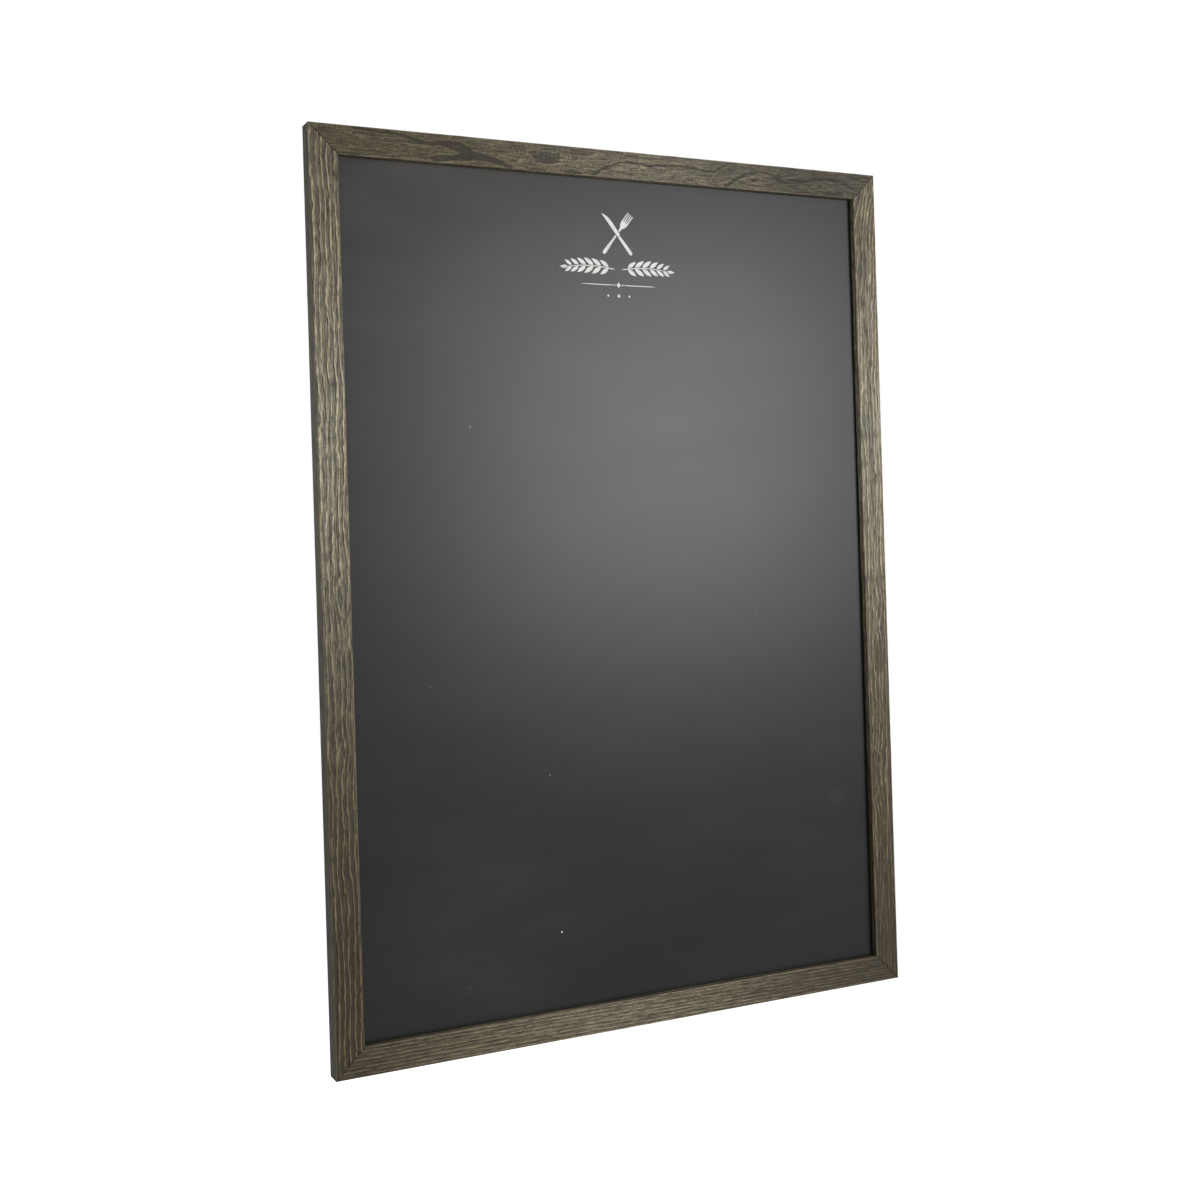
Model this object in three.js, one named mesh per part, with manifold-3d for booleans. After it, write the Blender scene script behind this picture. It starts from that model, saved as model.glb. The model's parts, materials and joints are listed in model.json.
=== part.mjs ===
// A wall-hung chalkboard menu board: a mitred, stained timber frame round a laminated writing panel,
// with the clips, joint nails, ring hangers and bumpers that such a board carries at its back.
// Millimetres. +X is the reader's right, +Z is up and the writing face looks along -Y.
// The origin is the centre of the whole board's box.
import * as THREE from "three";
import { mergeVertices } from "three/addons/utils/BufferGeometryUtils.js";
import Module from "manifold-3d";

// Writing panel, an A1 sheet
const panelWidth = 594;
const panelHeight = 841;
const writingSheetThickness = 1;
const backingBoardThickness = 3;

// Frame moulding
const faceWidth = 28;
const mouldingDepth = 19;
const lipThickness = 7.5;
const lipOverlap = 8;
const panelEdgeClearance = 1;
const arrisRadius = 0.8;
const mitreGap = 0.3;

// Let into the timber: the clearance round each piece, and the timber left in front of it
const letInClearance = 0.3;
const timberLeft = 7.5;

// V nails across the back of each mitre
const nailsPerCorner = 2;
const nailLeg = 5;
const nailThickness = 0.8;
const nailSetBelow = 0.4;

// Steel clips that hold the panel in its rebate
const clipPitch = 210;
const clipWidth = 7;
const clipThickness = 0.6;
const clipEmbedded = 8;
const clipTipLength = 5;
const clipShown = 12;
const clipNoseWidth = 3.5;
const clipNoseLength = 3;

// Ring hangers
const hangerDrop = 150;
const strapThickness = 0.8;
const strapWidth = 10;
const strapLayerGap = 0.2;
const strapNeckAngle = 50;
const ringWireRadius = 1.2;
const ringBarGap = 0.3;
const ringSideGap = 0.7;
const ringCornerRadius = 2;
const ringSideLength = 4.5;
const ringRestGap = 0.3;
const ringToScrewGap = 2;

// Hanger screws
const screwHeadRadius = 3.2;
const screwHeadHeight = 2;
const screwShoulderHeight = 0.8;
const screwCrownRadius = 1.5;
const screwShankRadius = 1.75;
const screwTipLength = 3.5;
const driveSlotLength = 3.6;
const driveSlotWidth = 0.9;
const driveSlotDepth = 1.2;

// Rubber wall bumpers
const bumperBaseRadius = 6.5;
const bumperFaceRadius = 5.5;
const bumperHeight = 6;
const bumperEdgeRadius = 0.8;
const bumperFromEnd = 45;

// How far a cutting shape runs past the faces that it cuts
const cutOvershoot = 1;

// Sizes and places that follow from those above
const boardWidth = panelWidth + 2 * (faceWidth - lipOverlap);
const boardHeight = panelHeight + 2 * (faceWidth - lipOverlap);
const halfWidth = boardWidth / 2;
const halfHeight = boardHeight / 2;
const backLand = faceWidth - lipOverlap - panelEdgeClearance;
const frontY = -(mouldingDepth + bumperHeight) / 2;
const backY = frontY + mouldingDepth;
const sheetY = frontY + lipThickness;
const backingY = sheetY + writingSheetThickness;
const panelBackY = backingY + backingBoardThickness;
const stileLineX = halfWidth - backLand / 2;
const quarterTurn = Math.PI / 2;

const finish = {
  stainedTimber: new THREE.MeshStandardMaterial({ color: 0x6a6454, roughness: 0.7, metalness: 0 }),
  writingLaminate: new THREE.MeshStandardMaterial({ color: 0x2b2b2c, roughness: 0.5, metalness: 0 }),
  fibreboard: new THREE.MeshStandardMaterial({ color: 0x7a5c3e, roughness: 0.85, metalness: 0 }),
  springSteel: new THREE.MeshStandardMaterial({ color: 0x7d7f82, roughness: 0.4, metalness: 1 }),
  zincSteel: new THREE.MeshStandardMaterial({ color: 0xb9bcc0, roughness: 0.3, metalness: 1 }),
  rubber: new THREE.MeshStandardMaterial({ color: 0x1c1c1d, roughness: 0.9, metalness: 0 }),
};

// Solids are joined and cut by the manifold library
const wasm = await Module();
wasm.setup();

function solidFrom(geometry) {
  const bare = geometry.clone();
  bare.deleteAttribute("normal");
  bare.deleteAttribute("uv");
  const merged = mergeVertices(bare);
  const vertProperties = merged.attributes.position.array;
  const triVerts = new Uint32Array(merged.index.array);
  return new wasm.Manifold(new wasm.Mesh({ numProp: 3, vertProperties, triVerts }));
}

function geometryFrom(solid) {
  const mesh = solid.getMesh();
  const geometry = new THREE.BufferGeometry();
  geometry.setAttribute("position", new THREE.BufferAttribute(mesh.vertProperties, 3));
  geometry.setIndex(new THREE.BufferAttribute(mesh.triVerts, 1));
  geometry.computeVertexNormals();
  return geometry;
}

function cut(geometry, tools) {
  const left = tools.reduce((solid, tool) => solid.subtract(solidFrom(tool)), solidFrom(geometry));
  return geometryFrom(left);
}

function common(first, second) {
  return geometryFrom(solidFrom(first).intersect(solidFrom(second)));
}

function counted(count) {
  return [...Array(count).keys()];
}

function polygon(points) {
  return new THREE.Shape(points.map(([a, b]) => new THREE.Vector2(a, b)));
}

function rectangle(width, height) {
  const [a, b] = [width / 2, height / 2];
  return polygon([[-a, -b], [a, -b], [a, b], [-a, b]]);
}

// An outline in (x, z) made into a slab from y = low to y = high
function slab(outline, low, high) {
  const geometry = new THREE.ExtrudeGeometry(outline, { depth: high - low, bevelEnabled: false });
  return geometry.rotateX(quarterTurn).translate(0, high, 0);
}

// A section in (y, z) made into a bar centred along X
function bar(section, length) {
  const geometry = new THREE.ExtrudeGeometry(section, { depth: length, bevelEnabled: false });
  const axes = [new THREE.Vector3(0, 1, 0), new THREE.Vector3(0, 0, 1), new THREE.Vector3(1, 0, 0)];
  return geometry.translate(0, 0, -length / 2).applyMatrix4(new THREE.Matrix4().makeBasis(...axes));
}

// A half profile of (radius, y) points turned about the Y axis
function turned(points, sides) {
  return new THREE.LatheGeometry(points.map(([r, y]) => new THREE.Vector2(r, y)), sides);
}

// The outline of a strip of even thickness bent along a centreline
function stripOutline(centreline, thickness) {
  const points = centreline.map(([a, b]) => new THREE.Vector2(a, b));
  const along = points.slice(1).map((point, i) => point.clone().sub(points[i]).normalize());
  const offset = (side) =>
    points.map((point, i) => {
      const before = along[Math.max(i - 1, 0)];
      const after = along[Math.min(i, along.length - 1)];
      const bisector = before.clone().add(after).normalize();
      const reach = (side * thickness) / 2 / bisector.dot(before);
      return new THREE.Vector2(point.x - bisector.y * reach, point.y + bisector.x * reach);
    });
  return new THREE.Shape([...offset(-1), ...offset(1).reverse()]);
}

function named(name, geometry, material) {
  const mesh = new THREE.Mesh(geometry, material);
  mesh.name = name;
  return mesh;
}

function at(object, x, y, z, turn = 0) {
  object.position.set(x, y, z);
  object.rotation.y = turn;
  return object;
}

// The moulding's section in (y, z), with z from its outer edge in to its sight edge
function mouldingSection() {
  const rounded = frontY + arrisRadius;
  const section = new THREE.Shape();
  section.moveTo(rounded, 0);
  section.lineTo(backY, 0);
  section.lineTo(backY, backLand);
  section.lineTo(sheetY, backLand);
  section.lineTo(sheetY, faceWidth);
  section.lineTo(rounded, faceWidth);
  section.absarc(rounded, faceWidth - arrisRadius, arrisRadius, quarterTurn, 2 * quarterTurn);
  section.lineTo(frontY, arrisRadius);
  section.absarc(rounded, arrisRadius, arrisRadius, 2 * quarterTurn, 3 * quarterTurn);
  return new THREE.Shape(section.getPoints(4));
}

// One mitred member's plan in (x, z), with its outer edge on z = 0
function mitredPlan(length) {
  const outer = length / 2 - mitreGap / Math.SQRT2;
  const inner = outer - faceWidth;
  return polygon([[-outer, 0], [outer, 0], [inner, faceWidth], [-inner, faceWidth]]);
}

// A V nail's outline in (x, z) about its corner: the frame's outer corner is at the origin
function nailOutline(index, clearance) {
  const apex = nailLeg + ((backLand - nailLeg) * (index + 1)) / (nailsPerCorner + 1);
  const tail = apex - nailLeg - clearance;
  return stripOutline([[tail, apex], [apex, apex], [apex, tail]], nailThickness + 2 * clearance);
}

function nail(index) {
  return slab(nailOutline(index, 0), frontY + timberLeft, backY - nailSetBelow);
}

function nailSlot(index) {
  const bottom = frontY + timberLeft - letInClearance;
  return slab(nailOutline(index, letInClearance), bottom, backY + cutOvershoot);
}

// A clip, driven from the rebate's wall into the timber and lying over the panel's back
function clip(x, clearance) {
  const half = clipWidth / 2 + clearance;
  const nose = clipNoseWidth / 2 + clearance;
  const tip = backLand - clipEmbedded - clearance;
  const end = backLand + clipShown;
  const outline = polygon([
    [x, tip],
    [x + half, tip + clipTipLength],
    [x + half, end - clipNoseLength],
    [x + nose, end],
    [x - nose, end],
    [x - half, end - clipNoseLength],
    [x - half, tip + clipTipLength],
  ]);
  return slab(outline, panelBackY - clearance, panelBackY + clipThickness + clearance);
}

function clipPlaces(length) {
  const sight = length - 2 * faceWidth;
  const count = Math.ceil(sight / clipPitch);
  return counted(count).map((i) => ((i + 0.5) / count - 0.5) * sight);
}

// A hanger's own sizes: y is measured out from the frame's back and z from the ring's bar
const eyeRadius = ringWireRadius + ringBarGap;
const barY = strapThickness + eyeRadius;
const strapTop = 2 * strapThickness + strapLayerGap;
const ringHalfWidth = strapWidth / 2 + ringSideGap + ringCornerRadius;
const ringReach = ringCornerRadius + ringSideLength + ringHalfWidth;
const ringRestTilt = Math.asin((strapTop + ringRestGap + ringWireRadius - barY) / ringReach);
const screwZ = -(ringReach + ringWireRadius + ringToScrewGap + screwHeadRadius);
const strapEndZ = screwZ - strapWidth / 2;

// The strap's section in (y, z): a flat layer, the eye round the bar, and back down over itself
function strapSection() {
  const arcSteps = 12;
  const middle = eyeRadius + strapThickness / 2;
  const neck = THREE.MathUtils.degToRad(strapNeckAngle);
  const eye = counted(arcSteps + 1).map((i) => {
    const angle = Math.PI - (i / arcSteps) * (Math.PI + neck);
    return [barY + middle * Math.cos(angle), middle * Math.sin(angle)];
  });
  const [neckY, neckZ] = eye[arcSteps];
  const upperY = strapTop - strapThickness / 2;
  const bend = [upperY, neckZ - (neckY - upperY) / Math.tan(neck)];
  return stripOutline(
    [[strapThickness / 2, strapEndZ], ...eye, bend, [upperY, strapEndZ]],
    strapThickness,
  );
}

// The strap's plan in (x, z), round at the end that is screwed down
function strapPlan() {
  const half = strapWidth / 2;
  const top = eyeRadius + strapThickness + cutOvershoot;
  const plan = new THREE.Shape();
  plan.moveTo(half, top);
  plan.lineTo(-half, top);
  plan.lineTo(-half, screwZ);
  plan.absarc(0, screwZ, half, Math.PI, 2 * Math.PI);
  return new THREE.Shape(plan.getPoints(6));
}

// The hole that clears the screw, from a depth in the timber out through the strap
function screwHole(depth) {
  const radius = screwShankRadius + letInClearance;
  const length = depth + strapTop + cutOvershoot;
  return new THREE.CylinderGeometry(radius, radius, length, 16).translate(0, length / 2 - depth, 0);
}

function hangerStrap() {
  const blank = slab(strapPlan(), -cutOvershoot, barY + eyeRadius + strapThickness + cutOvershoot);
  const folded = common(bar(strapSection(), strapWidth), blank);
  return cut(folded, [screwHole(cutOvershoot).translate(0, 0, screwZ)]);
}

// The ring's wire hangs in its own x and z from the bar on the X axis
class RingLoop extends THREE.Curve {
  constructor() {
    super();
    const corner = ringCornerRadius;
    const half = ringHalfWidth;
    const low = -corner - ringSideLength;
    this.outline = new THREE.Path();
    this.outline.moveTo(corner - half, 0);
    this.outline.lineTo(half - corner, 0);
    this.outline.absarc(half - corner, -corner, corner, quarterTurn, 0, true);
    this.outline.lineTo(half, low);
    this.outline.absarc(0, low, half, 0, -Math.PI, true);
    this.outline.lineTo(-half, -corner);
    this.outline.absarc(corner - half, -corner, corner, Math.PI, quarterTurn, true);
  }

  getPoint(t) {
    const point = this.outline.getPoint(t);
    return new THREE.Vector3(point.x, 0, point.y);
  }
}

function ring() {
  return new THREE.TubeGeometry(new RingLoop(), 48, ringWireRadius, 10, true);
}

function hangerScrew() {
  const depth = mouldingDepth - timberLeft - letInClearance + strapTop;
  const body = turned(
    [
      [0, -depth],
      [screwShankRadius, screwTipLength - depth],
      [screwShankRadius, 0],
      [screwHeadRadius, 0],
      [screwHeadRadius, screwShoulderHeight],
      [screwCrownRadius, screwHeadHeight],
      [0, screwHeadHeight],
    ],
    16,
  );
  const slotFloor = screwHeadHeight - driveSlotDepth;
  const slot = rectangle(driveSlotLength, driveSlotWidth);
  const crossSlot = rectangle(driveSlotWidth, driveSlotLength);
  return cut(
    body,
    [slot, crossSlot].map((outline) => slab(outline, slotFloor, screwHeadHeight + cutOvershoot)),
  );
}

function bumper() {
  const edge = new THREE.Path();
  const edgeY = bumperHeight - bumperEdgeRadius;
  edge.absarc(bumperFaceRadius - bumperEdgeRadius, edgeY, bumperEdgeRadius, 0, quarterTurn);
  const rounded = edge.getPoints(3).map((point) => [point.x, point.y]);
  return turned([[0, 0], [bumperBaseRadius, 0], ...rounded, [0, bumperHeight]], 24);
}

// One side of the frame and its clips: x runs along its outer edge and z in towards the panel
function frameSide(name, length, holes) {
  const side = new THREE.Group();
  const plan = slab(mitredPlan(length), frontY - cutOvershoot, backY + cutOvershoot);
  const member = common(bar(mouldingSection(), length), plan);
  const nailSlots = counted(nailsPerCorner).flatMap((i) => [
    nailSlot(i).translate(-length / 2, 0, 0),
    nailSlot(i).rotateY(-quarterTurn).translate(length / 2, 0, 0),
  ]);
  const clipSlots = clipPlaces(length).map((x) => clip(x, letInClearance));
  side.add(named(name, cut(member, [...nailSlots, ...clipSlots, ...holes]), finish.stainedTimber));
  clipPlaces(length).forEach((x, i) => {
    side.add(named(`${name}_clip_${i + 1}`, clip(x, 0), finish.springSteel));
  });
  return side;
}

// A hanger screw's pilot hole in a stile, at a place along that stile
function pilotHole(along) {
  return screwHole(mouldingDepth - timberLeft).translate(along, backY, backLand / 2);
}

function cornerNails(name) {
  const corner = new THREE.Group();
  counted(nailsPerCorner).forEach((i) => {
    corner.add(named(`${name}_v_nail_${i + 1}`, nail(i), finish.springSteel));
  });
  return corner;
}

function panel() {
  const layers = new THREE.Group();
  const sheet = rectangle(panelWidth, panelHeight);
  layers.add(named("writing_sheet", slab(sheet, sheetY, backingY), finish.writingLaminate));
  layers.add(named("backing_board", slab(sheet, backingY, panelBackY), finish.fibreboard));
  return layers;
}

function hanger(side) {
  const hardware = new THREE.Group();
  const screw = named(`${side}_hanger_screw`, hangerScrew(), finish.zincSteel);
  const loop = named(`${side}_hanger_ring`, ring(), finish.zincSteel);
  loop.rotation.x = ringRestTilt;
  hardware.add(named(`${side}_hanger_strap`, hangerStrap(), finish.zincSteel));
  hardware.add(at(screw, 0, strapTop, screwZ));
  hardware.add(at(loop, 0, barY, 0));
  return hardware;
}

const hangerZ = halfHeight - hangerDrop;
const pilotZ = hangerZ + screwZ;
const bumperZ = halfHeight - bumperFromEnd;

const board = new THREE.Group();
board.add(at(frameSide("bottom_rail", boardWidth, []), 0, 0, -halfHeight));
board.add(at(frameSide("top_rail", boardWidth, []), 0, 0, halfHeight, 2 * quarterTurn));
board.add(at(frameSide("left_stile", boardHeight, [pilotHole(-pilotZ)]), -halfWidth, 0, 0, quarterTurn));
board.add(at(frameSide("right_stile", boardHeight, [pilotHole(pilotZ)]), halfWidth, 0, 0, -quarterTurn));
board.add(at(cornerNails("bottom_left"), -halfWidth, 0, -halfHeight));
board.add(at(cornerNails("bottom_right"), halfWidth, 0, -halfHeight, -quarterTurn));
board.add(at(cornerNails("top_right"), halfWidth, 0, halfHeight, 2 * quarterTurn));
board.add(at(cornerNails("top_left"), -halfWidth, 0, halfHeight, quarterTurn));
board.add(panel());

[["left", -1], ["right", 1]].forEach(([side, across]) => {
  board.add(at(hanger(side), across * stileLineX, backY, hangerZ));
  [["top", 1], ["bottom", -1]].forEach(([level, up]) => {
    const foot = named(`${level}_${side}_bumper`, bumper(), finish.rubber);
    board.add(at(foot, across * stileLineX, backY, up * bumperZ));
  });
});

export default board;
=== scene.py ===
import json
import math

import bmesh
import bpy
from mathutils import Matrix, Vector, noise


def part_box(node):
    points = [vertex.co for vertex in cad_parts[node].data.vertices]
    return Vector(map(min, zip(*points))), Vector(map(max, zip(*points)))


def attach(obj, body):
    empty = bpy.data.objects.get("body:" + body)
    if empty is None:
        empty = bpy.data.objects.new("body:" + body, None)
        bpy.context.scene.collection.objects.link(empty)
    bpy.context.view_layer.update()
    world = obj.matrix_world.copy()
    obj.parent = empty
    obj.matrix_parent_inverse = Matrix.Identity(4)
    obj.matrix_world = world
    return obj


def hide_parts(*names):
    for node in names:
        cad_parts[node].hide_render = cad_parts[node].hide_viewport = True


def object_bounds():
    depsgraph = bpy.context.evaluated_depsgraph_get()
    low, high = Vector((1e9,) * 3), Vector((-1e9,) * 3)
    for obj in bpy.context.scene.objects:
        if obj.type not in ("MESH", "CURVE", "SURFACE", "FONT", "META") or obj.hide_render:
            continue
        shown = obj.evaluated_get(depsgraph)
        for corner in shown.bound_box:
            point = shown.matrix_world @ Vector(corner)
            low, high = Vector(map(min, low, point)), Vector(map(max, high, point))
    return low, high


# A wall-hung chalkboard in a stained timber frame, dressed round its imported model.
# Metres; +X is the reader's right, +Z is up and the writing face looks along -Y.
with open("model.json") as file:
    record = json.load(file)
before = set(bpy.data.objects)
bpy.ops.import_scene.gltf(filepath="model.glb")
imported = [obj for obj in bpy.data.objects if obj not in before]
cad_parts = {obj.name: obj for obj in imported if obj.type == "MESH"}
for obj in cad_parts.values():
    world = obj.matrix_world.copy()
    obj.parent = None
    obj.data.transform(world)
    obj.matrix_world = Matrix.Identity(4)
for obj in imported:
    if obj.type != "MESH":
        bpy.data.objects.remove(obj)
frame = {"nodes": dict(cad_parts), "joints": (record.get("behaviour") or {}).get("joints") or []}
cadBox = [list(corner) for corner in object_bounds()]
cadNodes = frame["nodes"]
mm = 0.001
boardLow, boardHigh = (Vector(corner) for corner in cadBox)
frontY = boardLow.y
print("frame loaded:", len(cadNodes), "nodes")


def linearColour(code):
    # sRGB hex to the linear values that a socket takes
    values = [int(code[i : i + 2], 16) / 255 for i in (1, 3, 5)]
    return [v / 12.92 if v <= 0.04045 else ((v + 0.055) / 1.055) ** 2.4 for v in values] + [1.0]


def addNode(tree, kind, inputs=None, stops=None, **settings):
    # One node: its settings, its sockets set or linked, and the stops of a colour ramp
    node = tree.nodes.new(kind)
    for name, value in settings.items():
        setattr(node, name, value)
    for name, value in (inputs or {}).items():
        if isinstance(value, bpy.types.NodeSocket):
            tree.links.new(value, node.inputs[name])
        else:
            node.inputs[name].default_value = value
    for i, (place, code) in enumerate(stops or []):
        element = node.color_ramp.elements[i] if i < 2 else node.color_ramp.elements.new(place)
        element.position = place
        element.color = linearColour(code)
    return node


def newMaterial(name):
    material = bpy.data.materials.new(name)
    material.use_nodes = True
    material.node_tree.nodes.clear()
    return material, material.node_tree


def pickOnly(piece):
    bpy.ops.object.select_all(action="DESELECT")
    piece.select_set(True)
    bpy.context.view_layer.objects.active = piece


def editMode(piece, kind):
    pickOnly(piece)
    bpy.ops.object.mode_set(mode="EDIT")
    bpy.ops.mesh.select_mode(type=kind)
    bpy.ops.mesh.select_all(action="DESELECT")


def editAll(piece, kind):
    editMode(piece, kind)
    bpy.ops.mesh.select_all(action="SELECT")


def objectMode():
    bpy.ops.object.mode_set(mode="OBJECT")


def mergeDoubles(piece, near):
    editAll(piece, "VERT")
    bpy.ops.mesh.remove_doubles(threshold=near)
    objectMode()


def faceOutwards(piece):
    editAll(piece, "FACE")
    bpy.ops.mesh.normals_make_consistent(inside=False)
    objectMode()


def selectVertices(piece, test):
    bpy.ops.mesh.select_all(action="DESELECT")
    mesh = bmesh.from_edit_mesh(piece.data)
    for vertex in mesh.verts:
        if test(vertex.co):
            vertex.select_set(True)
    mesh.select_flush_mode()
    bmesh.update_edit_mesh(piece.data)


def selectEdges(piece, test):
    # The test gets an edge's middle and its direction
    bpy.ops.mesh.select_all(action="DESELECT")
    mesh = bmesh.from_edit_mesh(piece.data)
    for edge in mesh.edges:
        start, end = (vertex.co for vertex in edge.verts)
        if test((start + end) / 2, (end - start).normalized()):
            edge.select_set(True)
    bmesh.update_edit_mesh(piece.data)


def applyModifier(piece, kind, **settings):
    pickOnly(piece)
    modifier = piece.modifiers.new(kind.lower(), kind)
    for name, value in settings.items():
        setattr(modifier, name, value)
    bpy.ops.object.modifier_apply(modifier=modifier.name)


def applyPlace(piece):
    pickOnly(piece)
    bpy.ops.object.transform_apply(location=True, rotation=True, scale=True)


def joinPieces(pieces, name):
    pickOnly(pieces[0])
    for piece in pieces:
        piece.select_set(True)
    if len(pieces) > 1:
        bpy.ops.object.join()
    joined = bpy.context.object
    joined.name = joined.data.name = name
    return joined


def copyPiece(piece, name):
    twin = piece.copy()
    twin.data = piece.data.copy()
    twin.name = twin.data.name = name
    bpy.context.scene.collection.objects.link(twin)
    return twin


def copyNode(node, name):
    # A loose copy of a CAD node's mesh, with its doubles merged
    twin = bpy.data.objects.new(name, cadNodes[node].data.copy())
    bpy.context.scene.collection.objects.link(twin)
    mergeDoubles(twin, 0.002 * mm)
    return twin


def giveMaterial(piece, material):
    piece.data.materials.clear()
    piece.data.materials.append(material)


# The camera stands where the photograph's own perspective puts it
photoCamera = {
    "place": (-0.712, -1.3932, 0.0434),
    "turn": -26.237,
    "tilt": 90.175,
    "roll": -1.747,
    "lens": 46.29,
    "sensor": 36,
    "shiftUp": -0.0494,
}
bpy.ops.object.camera_add()
camera = bpy.context.object
camera.name = "photo_camera"
camera.data.sensor_width = photoCamera["sensor"]
camera.data.lens = photoCamera["lens"]
camera.data.shift_y = photoCamera["shiftUp"]
camera.matrix_world = (
    Matrix.Translation(photoCamera["place"])
    @ Matrix.Rotation(math.radians(photoCamera["turn"]), 4, "Z")
    @ Matrix.Rotation(math.radians(photoCamera["tilt"]), 4, "X")
    @ Matrix.Rotation(math.radians(photoCamera["roll"]), 4, "Z")
)
bpy.context.scene.camera = camera
bpy.context.scene.view_settings.view_transform = "Standard"

# Soft studio light: a large softbox to the right of the camera, one behind the board, a weak one at the
# left, and a pale room
studio = {
    "keyPlace": (1.34, -2.42, 0.36),
    "keyAim": (-0.2, 0, 0.3),
    "keySize": (0.92, 1.02),
    "keyPower": 56,
    "backPlace": (1.3, 2.2, 1.1),
    "backAim": (0, 0, 0),
    "backSize": (1.6, 1.2),
    "backPower": 55,
    "fillPlace": (-2.2, -1.0, 0.7),
    "fillAim": (0, 0, 0),
    "fillSize": (1.0, 1.2),
    "fillPower": 10,
    "roomFill": 0.14,
    "floorZ": -1.35,
    "floorSize": 14,
    "floorColour": "#e4e2de",
    "floorGlow": 0.9,
}


def softbox(side):
    place, aim = studio[side + "Place"], studio[side + "Aim"]
    bpy.ops.object.light_add(type="AREA", location=place)
    lamp = bpy.context.object
    lamp.name = side + "_softbox"
    lamp.data.shape = "RECTANGLE"
    lamp.data.size, lamp.data.size_y = studio[side + "Size"]
    lamp.data.energy = studio[side + "Power"]
    lamp.rotation_euler = (Vector(aim) - Vector(place)).to_track_quat("-Z", "Y").to_euler()


for side in ("key", "back", "fill"):
    softbox(side)


def seenRays(tree):
    # 1 for a ray that comes straight from the camera, or off gloss or through glass, and 0 for the rest
    rays = addNode(tree, "ShaderNodeLightPath")
    seen = rays.outputs["Is Camera Ray"]
    for kind in ("Is Glossy Ray", "Is Transmission Ray"):
        either = addNode(tree, "ShaderNodeMath", {0: seen, 1: rays.outputs[kind]}, operation="MAXIMUM")
        seen = either.outputs[0]
    return seen


# The world is plain white where it is seen, straight on or in gloss or glass, and a weak fill elsewhere
world = bpy.data.worlds.new("pale_room")
bpy.context.scene.world = world
world.use_nodes = True
tree = world.node_tree
tree.nodes.clear()
white = linearColour("#ffffff")
fill = addNode(tree, "ShaderNodeBackground", {"Color": white, "Strength": studio["roomFill"]})
plain = addNode(tree, "ShaderNodeBackground", {"Color": white, "Strength": 1.0})
mixed = addNode(tree, "ShaderNodeMixShader", {0: seenRays(tree), 1: fill.outputs[0], 2: plain.outputs[0]})
addNode(tree, "ShaderNodeOutputWorld", {"Surface": mixed.outputs[0]})

# The floor is well below the hanging board: matt, pale, and lifted to white where it is seen
bpy.ops.mesh.primitive_plane_add(size=studio["floorSize"], location=(0, 0, studio["floorZ"]))
floor = bpy.context.object
floor.name = "floor"
applyPlace(floor)
floorFinish, tree = newMaterial("pale_matt_floor")
matt = addNode(tree, "ShaderNodeBsdfDiffuse", {"Color": linearColour(studio["floorColour"])})
glow = addNode(tree, "ShaderNodeEmission", {"Strength": studio["floorGlow"]})
dark = addNode(tree, "ShaderNodeEmission", {"Strength": 0.0})
lift = addNode(tree, "ShaderNodeMixShader", {0: seenRays(tree), 1: dark.outputs[0], 2: glow.outputs[0]})
both = addNode(tree, "ShaderNodeAddShader", {0: matt.outputs[0], 1: lift.outputs[0]})
addNode(tree, "ShaderNodeOutputMaterial", {"Surface": both.outputs[0]})
giveMaterial(floor, floorFinish)
print("camera, lamps, room and floor made")

# The moulding that all four members are cut from
moulding = {
    "face": 28 * mm,
    "depth": 19 * mm,
    "lip": 7.5 * mm,
    "backLand": 19 * mm,
    "arris": 0.8 * mm,
    "arrisSteps": 4,
    "mitreGap": 0.3 * mm,
    "faceCuts": 65,
    "sideCuts": 9,
    "letIn": 0.3 * mm,
    "pilot": 1.75 * mm,
    "brushed": 0.22 * mm,
    "spare": 2 * mm,
}
backY = frontY + moulding["depth"]
lipY = frontY + moulding["lip"]

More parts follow.
